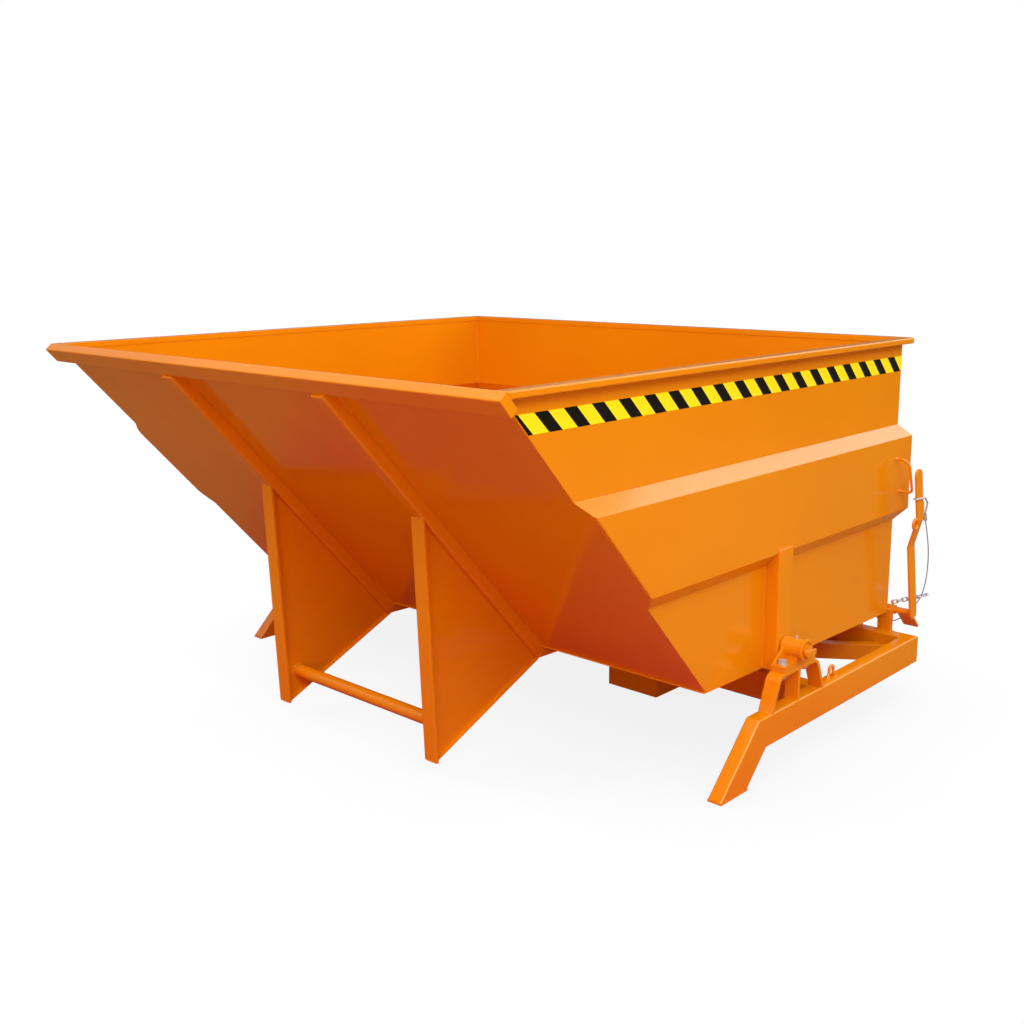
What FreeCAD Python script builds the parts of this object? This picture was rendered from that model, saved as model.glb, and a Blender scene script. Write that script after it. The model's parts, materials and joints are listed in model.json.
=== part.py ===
import FreeCAD, Part
import math
import os

os.makedirs("parts", exist_ok=True)
Vector = FreeCAD.Vector

# Self-tipping skip on a fork-lift base, in millimetres.
# +X is the tipping direction, +Y the side with the release lever, +Z up, and Z = 0 the floor.
# The origin lies under the middle of the whole part.

# Tub
rim_width = 2200.0
rim_height = 1286.0
tub_length = 2033.0
tub_floor_length = 1161.0
tub_floor_height = 300.0
tub_floor_drop = 20.0
sheet = 4.0
floor_sheet = 5.0
floor_lip = 6.0

# Belt pressed out of the side and rear walls
belt_bottom = 630.0
belt_bottom_rise = 47.0
belt_top = 979.0
belt_top_rise = 38.0
side_belt_depth = 45.0
rear_belt_depth = 25.0

# Rim and dump lip tubes
rim_tube_width = 40.0
rim_tube_height = 20.0
rim_overhang = 34.0
rim_corner_radius = 22.0
rim_wall = 2.5
rim_edge_radius = 5.0
lip_depth = 60.0
lip_thickness = 30.0
lip_wall = 3.0
lip_cap = 3.0
lip_edge_radius = 4.0

# Ribs and tipping legs under the front wall
rib_offset = 380.0
rib_width = 54.0
rib_depth = 40.0
rib_wall = 5.0
rib_bend = 16.0
rib_edge_radius = 8.0
rib_tail = 60.0
leg_setback = 1652.0
leg_lean_degrees = 2.0
leg_tip_height = 42.0
flange_width = 54.0
flange_thickness = 10.0
web_thickness = 8.0
web_hem_width = 34.0
web_hem_thickness = 5.0
web_heel = 8.0
leg_bar_diameter = 44.5
leg_bar_wall = 3.2
leg_bar_height = 144.0
leg_bar_gap = 31.0

# Pivot
pivot_setback = 815.0
pivot_height = 375.0
post_width = 80.0
post_proud = 9.0
post_wall = 6.0
post_lap = 12.0
post_lift = 2.0
post_edge_radius = 8.0
pin_diameter = 40.0
pin_end_reach = 27.0
keeper_thickness = 8.0
keeper_height = 16.0
keeper_front_reach = 16.0
keeper_rear_reach = 36.0
ring_diameter = 70.0
ring_thickness = 10.0
ring_groove = 54.0
ring_groove_depth = 5.0
bush_wall = 4.0
sleeve_diameter = 62.0
sleeve_overhang = 12.0
bearing_side_gap = 4.0

# Bearing block on its hoop
hoop_foot_reach = 158.0
hoop_shoulder_reach = 114.0
hoop_drop = 57.0
hoop_thickness = 12.0
hoop_bend = 42.0
stiffener_thickness = 12.0
base_reach = 92.0
base_thickness = 20.0
gusset_thickness = 9.0
gusset_edge = 5.0
gusset_rise = 6.0
saddle_reach = 22.0
bolt_reach = 64.0
bolt_diameter = 16.0
bolt_head_flats = 24.0
bolt_head_height = 10.0
washer_diameter = 30.0
washer_thickness = 3.0
nut_height = 13.0
bolt_tail = 5.0
nipple_diameter = 8.0
nipple_height = 14.0
nipple_seat = 4.0
nipple_tip_diameter = 5.0
nipple_side_reach = 9.0

# Base frame
rail_gap = 10.0
rail_width = 50.0
rail_height = 100.0
rail_wall = 4.0
rail_edge_radius = 6.0
rail_tail = 25.0
rail_lead = 24.0
leg_slope_degrees = 45.0
foot_plate = 8.0
cross_setback = 675.0
pocket_offset = 405.0
pocket_width = 222.0
pocket_height = 106.0
pocket_wall = 6.0
pocket_cap = 6.0
brace_width = 40.0
brace_height = 60.0
brace_wall = 3.0
brace_corner = 52.0
brace_run_share = 0.683
eye_gap = 88.0
eye_bar = 10.0
eye_foot_reach = 24.0
eye_neck_reach = 13.0
eye_neck_height = 18.0
eye_height = 41.0
eye_bend = 12.0
rest_offset = 700.0
rest_width = 60.0
rest_depth = 20.0
rest_gap = 0.3

# Grab handle on the side wall
handle_bar = 9.0
handle_reach = 48.0
handle_top_bend = 30.0
handle_bottom_bend = 12.0
handle_setback = 88.0
handle_lean = 35.0
handle_top_drop = 71.0
handle_length = 120.0

# Latch uprights, shaft and hook
latch_height = 282.0
latch_bearing_radius = 17.0
upright_depth = 20.0
upright_width = 52.0
upright_inset = 104.0
upright_crown = 8.0
latch_bearing_width = 28.0
inner_upright_width = 28.0
shaft_diameter = 24.0
shaft_tail = 5.0
collar_gap = 1.0
collar_radius = 16.5
staple_bar = 6.0
staple_half_width = 8.0
staple_height = 11.0
hook_gap = 24.0
hook_thickness = 20.0
hook_hub_radius = 20.0
hook_arm_width = 24.0
hook_arm_rear = 12.0
hook_height = 100.0
hook_nose_height = 80.0
hook_nose_reach = 23.0
hook_nose_chamfer = 6.0
hook_tail_length = 80.0
hook_tail_width = 24.0
catch_depth = 15.0
catch_width = 40.0
catch_gap = 9.0
catch_height = 18.0
catch_wedge = 16.0

# Release lever and pedal
lever_lean_degrees = 10.7
lever_width = 45.0
lever_thickness = 9.0
lever_inset = 11.0
lever_foot = 20.0
lever_jog_start = 270.0
lever_jog_end = 378.0
lever_jog_offset = 37.0
lever_top = 566.0
lever_bend = 14.0
lever_ring_wire = 10.0
lever_ring_diameter = 44.0
lever_ring_height = 372.0
lever_ring_offset = 12.0
pedal_length = 98.0
pedal_thickness = 8.0
pedal_width = 58.0
pedal_gap = 1.0
pedal_slope_degrees = 45.0
pedal_corner = 5.0

# Pull rope with its eye and ferrule
rope_diameter = 4.0
rope_reach_share = 0.45
ferrule_diameter = 14.0
ferrule_length = 24.0
eye_wire = 6.5
eye_wire_bend = 6.5
eye_strand_offset = 3.7
eye_rear_height = 452.0
eye_front_height = 464.0
eye_bow_reach = 20.0
eye_bow_drop = 26.0
eye_edge_gap = 1.5
eye_face_gap = 0.4

# Safety chain
chain_wire = 5.0
chain_inner_length = 19.0
chain_inner_width = 8.0
chain_links = 5
chain_slack = 0.3
end_link_wire = 6.0
end_link_inner_length = 34.0
end_link_inner_width = 14.0
chain_out = 107.0
chain_back = 66.0
chain_rise = 36.0

# Fits and cutting allowances
running_gap = 0.05
press_gap = 0.02
bolt_hole_gap = 1.0
seat_gap = 0.3
overrun = 20.0

# Places worked out from the driving dimensions
slope = math.atan((tub_length - tub_floor_length) / (rim_height - tub_floor_height))
slope_length = (rim_height - tub_floor_height) / math.cos(slope)
pedal_slope = math.radians(pedal_slope_degrees)
leg_slope = math.radians(leg_slope_degrees)
leg_lean = math.radians(leg_lean_degrees)
shaft_setback = rail_tail + latch_bearing_radius
pedal_reach = pedal_length * math.cos(pedal_slope) + pedal_thickness / 2 * math.sin(pedal_slope)
lip_rounding = lip_edge_radius * (math.sin(slope) + math.cos(slope) - 1)
front_reach = tub_length + lip_thickness * math.cos(slope) - lip_rounding
rear_reach = shaft_setback + pedal_reach
rear_x = (rear_reach - front_reach) / 2
front_x = rear_x + tub_length
rim_half = rim_width / 2
panel_half = rim_half - rim_overhang
rim_bottom = rim_height - rim_tube_height
floor_low = tub_floor_height - tub_floor_drop
floor_top = tub_floor_height + floor_sheet
pivot_x = rear_x + pivot_setback
post_outer = panel_half + side_belt_depth + post_proud
rail_inner = post_outer + rail_gap
rail_outer = rail_inner + rail_width
rail_middle = rail_inner + rail_width / 2
rail_bottom = pocket_height
rail_top = rail_bottom + rail_height
rail_rear = rear_x - rail_tail
sleeve_inner = post_outer + bearing_side_gap
sleeve_outer = rail_outer + sleeve_overhang
pin_radius = pin_diameter / 2
bush_inner_radius = pin_radius + running_gap
bush_outer_radius = bush_inner_radius + bush_wall
pin_end = rail_outer + pin_end_reach
hoop_top = pivot_height - hoop_drop
base_top = hoop_top + base_thickness
shaft_x = rear_x - shaft_setback
shaft_radius = shaft_diameter / 2
upright_side = rail_inner - upright_inset
hook_side = upright_side - hook_gap - hook_thickness
inner_upright_side = hook_side - hook_gap - inner_upright_width
collar_side = upright_side + latch_bearing_width + collar_gap
collar_end = upright_side + upright_width
lever_side = rail_inner + lever_inset
lever_outer = lever_side + lever_thickness
lever_upper_middle = lever_side + lever_thickness / 2 + lever_jog_offset
pedal_side = lever_side - pedal_gap - pedal_width
far = tub_length + rim_width


def save(node, shape):
    """Write one node, named after its piece."""
    shape.exportStep("parts/" + node + ".step")


def mirrored(shape):
    """Copy a +Y piece to the -Y side."""
    return shape.mirror(Vector(0, 0, 0), Vector(0, 1, 0))


def save_pair(name, shape):
    """Write a piece and its mirror image, left being +Y."""
    save(name + "_left", shape)
    save(name + "_right", mirrored(shape))


def box(x0, x1, y0, y1, z0, z1):
    """Block between two corners."""
    return Part.makeBox(x1 - x0, y1 - y0, z1 - z0, Vector(x0, y0, z0))


def extruded(corners, along):
    """Prism from a closed outline of vectors."""
    return Part.Face(Part.makePolygon(corners + corners[:1])).extrude(along)


def prism_x(points, x0, x1):
    """Prism along X from (y, z) points."""
    return extruded([Vector(x0, y, z) for y, z in points], Vector(x1 - x0, 0, 0))


def prism_y(points, y0, y1):
    """Prism along Y from (x, z) points."""
    return extruded([Vector(x, y0, z) for x, z in points], Vector(0, y1 - y0, 0))


def prism_z(points, z0, z1):
    """Prism along Z from (x, y) points."""
    return extruded([Vector(x, y, z0) for x, y in points], Vector(0, 0, z1 - z0))


def cylinder_y(x, z, radius, y0, y1):
    """Round bar along Y."""
    return Part.makeCylinder(radius, y1 - y0, Vector(x, y0, z), Vector(0, 1, 0))


def cylinder_z(x, y, radius, z0, z1):
    """Round bar along Z."""
    return Part.makeCylinder(radius, z1 - z0, Vector(x, y, z0))


def hexagon_z(x, y, flats, z0, z1):
    """Hexagon prism along Z."""
    corner = flats / math.sqrt(3)
    turns = [math.radians(60 * step) for step in range(6)]
    return prism_z([(x + corner * math.cos(t), y + corner * math.sin(t)) for t in turns], z0, z1)


def offset_path(points, distance):
    """Move an open path sideways to its left, with mitred corners."""
    moved = []
    last = len(points) - 1
    for index, (a, b) in enumerate(points):
        before = points[max(index - 1, 0)]
        after = points[min(index + 1, last)]
        first = unit_normal(before, (a, b)) if index > 0 else unit_normal((a, b), after)
        second = unit_normal((a, b), after) if index < last else first
        stretch = distance / (1 + first[0] * second[0] + first[1] * second[1])
        moved.append((a + stretch * (first[0] + second[0]), b + stretch * (first[1] + second[1])))
    return moved


def unit_normal(start, end):
    """Left-hand unit normal of a run."""
    run = math.hypot(end[0] - start[0], end[1] - start[1])
    return (start[1] - end[1]) / run, (end[0] - start[0]) / run


def strip_outline(points, thickness):
    """Closed outline of a bent strip that lies to the left of its path."""
    return points + offset_path(points, thickness)[::-1]


def rounded(shape, places, axis, radius):
    """Fillet the straight edges along an axis that pass through the given places."""
    picked = []
    for edge in shape.Edges:
        start = edge.Vertexes[0].Point
        run = edge.Vertexes[-1].Point - start
        if run.Length < seat_gap or run.cross(axis).Length > seat_gap:
            continue
        if any((start - place).cross(axis).Length < seat_gap for place in places):
            picked.append(edge)
    return shape.makeFillet(radius, picked)


def rounded_wire(points, reaches):
    """Path of straight runs joined by tangent arcs, each arc starting a reach from its corner."""
    edges = []
    start = points[0]
    for before, corner, after, reach in zip(points, points[1:], points[2:], reaches):
        back = (before - corner).normalize()
        ahead = (after - corner).normalize()
        half = back.getAngle(ahead) / 2
        radius = reach * math.tan(half)
        middle = (back + ahead).normalize() * (radius / math.sin(half) - radius)
        arc_start = corner + back * reach
        arc_end = corner + ahead * reach
        edges.append(Part.LineSegment(start, arc_start).toShape())
        edges.append(Part.Arc(arc_start, corner + middle, arc_end).toShape())
        start = arc_end
    edges.append(Part.LineSegment(start, points[-1]).toShape())
    return Part.Wire(edges)


def bent_bar(points, diameter, bends):
    """Round bar with a bend radius for each corner."""
    reaches = []
    for before, corner, after, bend in zip(points, points[1:], points[2:], bends):
        half = (before - corner).getAngle(after - corner) / 2
        reaches.append(bend / math.tan(half))
    return swept(rounded_wire(points, reaches), points[0], points[1] - points[0], diameter)


def swept(path, start, direction, diameter):
    """Round section carried along a path."""
    section = Part.Wire([Part.makeCircle(diameter / 2, start, direction)])
    return path.makePipeShell([section], True, False)


def on_slope(down, out):
    """Place on the front wall: down from its top edge and out from its face, as (x, z)."""
    x = front_x - down * math.sin(slope) + out * math.cos(slope)
    z = rim_height - down * math.cos(slope) - out * math.sin(slope)
    return x, z


def slope_slab(out0, out1, y0, y1):
    """Everything between two planes parallel to the front wall."""
    ends = (-far, slope_length + far)
    return slope_bar(ends[0], ends[1], out0, out1, y0, y1)


def slope_out(x, z):
    """Distance of a place out from the front wall's face."""
    return (x - front_x) * math.cos(slope) + (rim_height - z) * math.sin(slope)


def floor_z(x):
    """Height of the floor's underside, which falls towards the rear."""
    return tub_floor_height - tub_floor_drop * (rear_x + tub_floor_length - x) / tub_floor_length


def below_floor(rise):
    """Everything below the floor's underside raised by a given height."""
    ends = (rear_x - far, front_x + far)
    corners = [(ends[0], -far), (ends[1], -far), (ends[1], floor_z(ends[1]) + rise)]
    return prism_y(corners + [(ends[0], floor_z(ends[0]) + rise)], -far, far)


def wall_path(face, depth):
    """Outer section of a belted wall from its foot to the rim, as (offset, height)."""
    return [
        (face, floor_low),
        (face, belt_bottom),
        (face + depth, belt_bottom + belt_bottom_rise),
        (face + depth, belt_top - belt_top_rise),
        (face, belt_top),
        (face, rim_bottom),
    ]


def beyond_corner(side):
    """Region past the vertical seam of the side and rear walls, towards +X for side 1 or -X for -1."""
    run = (-rear_belt_depth, side_belt_depth)
    inward = panel_half / side_belt_depth
    inner = (rear_x - run[0] * inward, panel_half - run[1] * inward)
    outer = (rear_x + run[0] * inward, panel_half + run[1] * inward)
    shifted = [(outer[0] + side * far, outer[1]), (inner[0] + side * far, inner[1])]
    return prism_z([inner, outer] + shifted, 0, rim_height)


def tub_side():
    """Side wall with its belt, mitred into the rear wall and cut along the slope."""
    section = strip_outline(wall_path(panel_half, side_belt_depth), sheet)
    wall = prism_x(section, rear_x - rear_belt_depth, front_x)
    wall = wall.cut(slope_slab(-sheet, far, 0, far)).cut(below_floor(0))
    return wall.cut(beyond_corner(-1))


def tub_rear():
    """Rear wall with its belt."""
    section = strip_outline(wall_path(rear_x, -rear_belt_depth), -sheet)
    reach = panel_half + side_belt_depth
    seam = beyond_corner(1)
    return prism_y(section, -reach, reach).cut(seam).cut(mirrored(seam))


def floor_plate():
    """Floor between the walls, whose front edge stands out under the front wall."""
    x0 = rear_x + sheet
    x1 = front_x - (rim_height - floor_top) * math.tan(slope) + floor_lip
    inner = panel_half - sheet
    under = [(x0, floor_z(x0)), (x1, floor_z(x1))]
    outline = under + [(x, z + floor_sheet) for x, z in under[::-1]]
    front = prism_y(outline, -panel_half, panel_half).common(slope_slab(-sheet, far, -far, far))
    return prism_y(outline, -inner, inner).fuse(front).removeSplitter()


def tub_front():
    """Sloped front wall, as wide as the belted walls and the rims that it closes."""
    half = wall_path(panel_half, side_belt_depth) + [(rim_half, rim_bottom), (rim_half, rim_height)]
    outline = half + [(-y, z) for y, z in half[::-1]]
    wall = prism_x(outline, rear_x, front_x + overrun).common(slope_slab(-sheet, 0, -rim_half, rim_half))
    return wall.cut(below_floor(floor_sheet))


def tub_envelope():
    """Solid outer form of the side walls, used to fit pieces against them."""
    half = wall_path(panel_half, side_belt_depth)
    return prism_x(half + [(-y, z) for y, z in half[::-1]], rear_x - rear_belt_depth, front_x)


def rim_ring(inset):
    """Rim outline at a given inset from its faces, open to the front."""
    outer_rear = rear_x - rim_overhang + inset
    outer_half = rim_half - inset
    inner_rear = rear_x - rim_overhang + rim_tube_width - inset
    inner_half = rim_half - rim_tube_width + inset
    z0 = rim_bottom + inset
    z1 = rim_height - inset
    outer = box(outer_rear, front_x, -outer_half, outer_half, z0, z1)
    corners = [Vector(outer_rear, side * outer_half, z0) for side in (-1, 1)]
    outer = rounded(outer, corners, Vector(0, 0, 1), rim_corner_radius - inset)
    edges = [Vector(front_x, side * outer_half, z) for side in (-1, 1) for z in (z0, z1)]
    outer = rounded(outer, edges, Vector(1, 0, 0), rim_edge_radius - inset)
    return outer.cut(box(inner_rear, front_x + overrun, -inner_half, inner_half, z0 - overrun, z1 + overrun))


def rims():
    """Rim tube, split at its mitres into a side and the rear piece."""
    ring = rim_ring(0).cut(rim_ring(rim_wall)).cut(slope_slab(-sheet, far, -far, far))
    corner = (rear_x - rim_overhang, rim_half)
    outer = (corner[0] - overrun, corner[1] + overrun)
    inner = (corner[0] + rim_tube_width + overrun, corner[1] - rim_tube_width - overrun)
    beside = prism_z([inner, outer, (front_x, outer[1]), (front_x, inner[1])], 0, far)
    return ring.common(beside), ring.cut(beside).cut(mirrored(beside))


def slope_bar(down0, down1, out0, out1, y0, y1):
    """Bar on the front wall between two stations of its slope."""
    corners = [on_slope(down0, out0), on_slope(down1, out0), on_slope(down1, out1), on_slope(down0, out1)]
    return prism_y(corners, y0, y1)


def lip_bar(y0, y1):
    """Length of the dump lip's outer form, with its two front edges rounded."""
    bar = slope_bar(0, lip_depth, 0, lip_thickness, y0, y1)
    edges = [on_slope(down, lip_thickness) for down in (0, lip_depth)]
    return rounded(bar, [Vector(x, 0, z) for x, z in edges], Vector(0, 1, 0), lip_edge_radius)


def dump_lip():
    """Dump lip tube and its two end caps."""
    end = rim_half - lip_cap
    inside = slope_bar(lip_wall, lip_depth - lip_wall, lip_wall, lip_thickness - lip_wall, -end, end)
    cap = lip_bar(end, rim_half)
    return lip_bar(-end, end).cut(inside), Part.makeCompound([cap, mirrored(cap)])


def rib_path(gap):
    """Line of the rib down the front wall and back under the floor, short of both ends by a gap."""
    end = rear_x + rib_tail + gap
    return [on_slope(lip_depth + gap, 0), on_slope(slope_length, 0), (end, floor_z(end))]


def rib_form(inset):
    """Bent bar that follows the rib's line, at an inset from its outer faces and ends."""
    path = rib_path(inset)
    depth = rib_depth - inset
    half = rib_width / 2 - inset
    x, z = offset_path(path, depth)[1]
    bar = prism_y(strip_outline(path, depth), rib_offset - half, rib_offset + half)
    return rounded(bar, [Vector(x, 0, z)], Vector(0, 1, 0), rib_bend - inset)


def front_ribs():
    """Folded channel split at its bend into the rib on the front wall and the bearer under the floor."""
    half = rib_width / 2
    x, z = on_slope(lip_depth, rib_depth)
    edges = [Vector(x, y, z) for y in (rib_offset - half, rib_offset + half)]
    channel = rounded(rib_form(0), edges, Vector(math.sin(slope), 0, math.cos(slope)), rib_edge_radius)
    channel = channel.cut(rib_form(rib_wall)).cut(floor_plate())
    inner = Vector(*on_slope(slope_length, 0), 0)
    mitre = (Vector(*offset_path(rib_path(0), rib_depth)[1], 0) - inner).normalize() * far
    low = inner + mitre
    high = inner - mitre
    ahead = prism_y([(low.x, low.y), (low.x + far, low.y), (high.x + far, high.y), (high.x, high.y)], 0, far)
    return channel.common(ahead), channel.cut(ahead)


def leg_outline(behind, ahead):
    """Outline of a leaning slab, given by its reach behind and ahead of the leg's front face."""
    foot = rear_x + leg_setback
    head = foot + (rim_height - leg_tip_height) * math.tan(leg_lean)
    return [(foot - behind, leg_tip_height), (foot + ahead, leg_tip_height),
            (head + ahead, rim_height), (head - behind, rim_height)]


def leg_corners():
    """Corners of the tipping leg's web as (x, z): tip, top and heel."""
    tip = leg_outline(flange_thickness, 0)[0]
    climb = (slope_out(*tip) - rib_depth) / math.sin(slope - leg_lean)
    top = (tip[0] + climb * math.sin(leg_lean), tip[1] + climb * math.cos(leg_lean))
    x, z = offset_path(rib_path(0), rib_depth)[1]
    return tip, top, (x - web_heel * math.sin(slope), z - web_heel * math.cos(slope))


def leg_web():
    """Web plate of the tipping leg with a hem along its lower edge."""
    tip, top, heel = leg_corners()
    plate = prism_y([tip, top, heel], rib_offset - web_thickness / 2, rib_offset + web_thickness / 2)
    hem = prism_y(strip_outline([heel, tip], web_hem_thickness), rib_offset - web_hem_width / 2,
                  rib_offset + web_hem_width / 2)
    hem = hem.common(prism_y(leg_outline(far, -flange_thickness), 0, far))
    return plate.fuse(hem.cut(slope_slab(-far, rib_depth, 0, far))).removeSplitter()


def leg_flange():
    """Flange plate of the tipping leg, up to the rib."""
    half = flange_width / 2
    plate = prism_y(leg_outline(flange_thickness, 0), rib_offset - half, rib_offset + half)
    return plate.cut(slope_slab(-far, rib_depth, 0, far))


def leg_bar():
    """Round tube between the two webs."""
    reach = rib_offset - web_thickness / 2
    radius = leg_bar_diameter / 2
    x = rear_x + leg_setback - flange_thickness - leg_bar_gap - radius
    tube = cylinder_y(x, leg_bar_height, radius, -reach, reach)
    return tube.cut(cylinder_y(x, leg_bar_height, radius - leg_bar_wall, -reach, reach))


def pivot_post():
    """Folded post on the side wall that holds the trunnion."""
    x0 = pivot_x - post_width / 2
    x1 = pivot_x + post_width / 2
    z0 = floor_z(pivot_x) + post_lift
    z1 = belt_bottom + belt_bottom_rise + post_lap
    post = box(x0, x1, panel_half, post_outer, z0, z1)
    edges = [Vector(x, post_outer, z0) for x in (x0, x1)]
    post = rounded(post, edges, Vector(0, 0, 1), post_edge_radius)
    inside = box(x0 + post_wall, x1 - post_wall, 0, post_outer - post_wall, z0 - overrun, z1 - post_wall)
    hole = cylinder_y(pivot_x, pivot_height, pin_radius + press_gap, panel_half, post_outer + overrun)
    return post.cut(tub_envelope()).cut(inside).cut(hole)


def trunnion():
    """Pivot pin with the keeper plate on its end."""
    pin = cylinder_y(pivot_x, pivot_height, pin_radius, panel_half, pin_end)
    z0 = pivot_height - keeper_height
    x0 = pivot_x - keeper_rear_reach
    x1 = pivot_x + keeper_front_reach
    keeper = box(x0, x1, pin_end, pin_end + keeper_thickness, z0, pivot_height)
    return pin.fuse(keeper).removeSplitter()


def pin_ring():
    """Ring that holds the pin in its bearing, grooved on the outside."""
    start = sleeve_outer + seat_gap
    end = start + ring_thickness
    ring = cylinder_y(pivot_x, pivot_height, ring_diameter / 2, start, end)
    ring = ring.cut(cylinder_y(pivot_x, pivot_height, pin_radius + press_gap, start, end))
    return ring.cut(cylinder_y(pivot_x, pivot_height, ring_groove / 2, end - ring_groove_depth, end))


def bearing_bush():
    """Plain bush in the bearing sleeve."""
    bush = cylinder_y(pivot_x, pivot_height, bush_outer_radius, sleeve_inner, sleeve_outer)
    return bush.cut(cylinder_y(pivot_x, pivot_height, bush_inner_radius, sleeve_inner, sleeve_outer))


def bolt_places():
    """Middles of the two bearing bolts as (x, y)."""
    return [(pivot_x - bolt_reach, rail_middle), (pivot_x + bolt_reach, rail_middle)]


def bolt_holes():
    """Clearance holes through the base plate and hoop."""
    radius = bolt_diameter / 2 + bolt_hole_gap
    holes = [cylinder_z(x, y, radius, rail_top, base_top + overrun) for x, y in bolt_places()]
    return Part.makeCompound(holes)


def nipple_place():
    """Middle of the grease nipple's seat."""
    return pivot_x, rail_middle + nipple_side_reach, pivot_height + sleeve_diameter / 2 - nipple_seat


def bearing_block():
    """Welded bearing: base plate, sleeve, saddle and gusset."""
    base = box(pivot_x - base_reach, pivot_x + base_reach, rail_inner, rail_outer, hoop_top, base_top)
    x0 = pivot_x - saddle_reach
    saddle = box(x0, pivot_x + saddle_reach, rail_inner, rail_outer, base_top, pivot_height)
    radius = sleeve_diameter / 2
    sleeve = cylinder_y(pivot_x, pivot_height, radius, sleeve_inner, sleeve_outer)
    foot = base_reach - gusset_edge
    shoulder = pivot_height + gusset_rise
    half = math.sqrt(radius ** 2 - gusset_rise ** 2)
    outline = [(-foot, base_top), (foot, base_top), (half, shoulder), (-half, shoulder)]
    outline = [(pivot_x + x, z) for x, z in outline]
    gusset = prism_y(outline, rail_inner, rail_inner + gusset_thickness)
    block = base.fuse([saddle, sleeve, gusset]).removeSplitter()
    bore = bush_outer_radius + press_gap
    block = block.cut(cylinder_y(pivot_x, pivot_height, bore, sleeve_inner, sleeve_outer))
    x, y, z = nipple_place()
    block = block.cut(cylinder_z(x, y, nipple_diameter / 2 + press_gap, z, z + overrun))
    return block.cut(bolt_holes())


def grease_nipple():
    """Grease nipple on top of the sleeve."""
    x, y, z = nipple_place()
    neck = z + nipple_height - nipple_diameter / 2
    body = cylinder_z(x, y, nipple_diameter / 2, z, neck)
    tip = Part.makeCone(nipple_diameter / 2, nipple_tip_diameter / 2, nipple_diameter / 2, Vector(x, y, neck))
    return body.fuse(tip)


def bearing_bolts():
    """Bolts and nuts of one bearing block."""
    pieces = []
    nut_top = hoop_top - hoop_thickness
    radius = bolt_diameter / 2
    for x, y in bolt_places():
        bolt = cylinder_z(x, y, radius, nut_top - nut_height - bolt_tail, base_top)
        bolt = bolt.fuse(cylinder_z(x, y, washer_diameter / 2, base_top, base_top + washer_thickness))
        seat = base_top + washer_thickness
        head = hexagon_z(x, y, bolt_head_flats, seat, seat + bolt_head_height)
        pieces.append(bolt.fuse(head).removeSplitter())
        nut = hexagon_z(x, y, bolt_head_flats, nut_top - nut_height, nut_top)
        pieces.append(nut.cut(cylinder_z(x, y, radius + press_gap, nut_top - nut_height, nut_top)))
    return pieces


def bearing_hoop():
    """Flat bar bent into a hoop that stands on the rail."""
    lean = (hoop_foot_reach - hoop_shoulder_reach) / (hoop_top - rail_top)
    foot = hoop_foot_reach + overrun * lean
    path = [
        (pivot_x + foot, rail_top - overrun),
        (pivot_x + hoop_shoulder_reach, hoop_top),
        (pivot_x - hoop_shoulder_reach, hoop_top),
        (pivot_x - foot, rail_top - overrun),
    ]
    hoop = prism_y(strip_outline(path, hoop_thickness), rail_inner, rail_outer)
    along = Vector(0, 1, 0)
    outer = [Vector(x, 0, z) for x, z in path[1:3]]
    inner = [Vector(x, 0, z) for x, z in offset_path(path, hoop_thickness)[1:3]]
    hoop = rounded(hoop, outer, along, hoop_bend)
    hoop = rounded(hoop, inner, along, hoop_bend - hoop_thickness)
    return hoop.cut(box(-far, far, -far, far, rail_bottom, rail_top)).cut(bolt_holes())


def hoop_stiffener():
    """Plate under the middle of the hoop."""
    x0 = pivot_x - stiffener_thickness / 2
    return box(x0, x0 + stiffener_thickness, rail_inner, rail_outer, rail_top, hoop_top - hoop_thickness)


def bend_stations():
    """Corners of the mitre between rail and front leg, lower and upper, as (x, z)."""
    lower = pivot_x + hoop_foot_reach + rail_lead
    return (lower, rail_bottom), (lower + rail_height * math.tan(leg_slope / 2), rail_top)


def rail_edges(lower, upper):
    """Places of a rail's four long edges, from a low and a high place on its side as (x, z)."""
    return [Vector(x, y, z) for x, z in (lower, upper) for y in (rail_inner, rail_outer)]


def side_rail():
    """Side rail tube, mitred at the rear corner and at the front leg."""
    lower, upper = bend_stations()
    outline = [(rail_rear, rail_bottom), lower, upper, (rail_rear, rail_top)]
    rail = rounded(prism_y(outline, rail_inner, rail_outer), rail_edges(lower, upper), Vector(1, 0, 0),
                   rail_edge_radius)
    inside = box(rail_rear - overrun, upper[0] + overrun, rail_inner + rail_wall, rail_outer - rail_wall,
                 rail_bottom + rail_wall, rail_top - rail_wall)
    return rail.cut(inside).cut(rear_corner(-1))


def rear_corner(side):
    """Region past the plan mitre of rail and rear cross member, towards -Y for -1 or +Y for 1."""
    inner = (rail_rear + rail_width + overrun, rail_inner - overrun)
    outer = (rail_rear - overrun, rail_outer + overrun)
    shift = side * rail_outer / 2
    return prism_z([inner, outer, (outer[0], outer[1] + shift), (inner[0], inner[1] + shift)], 0, rim_height)


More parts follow.
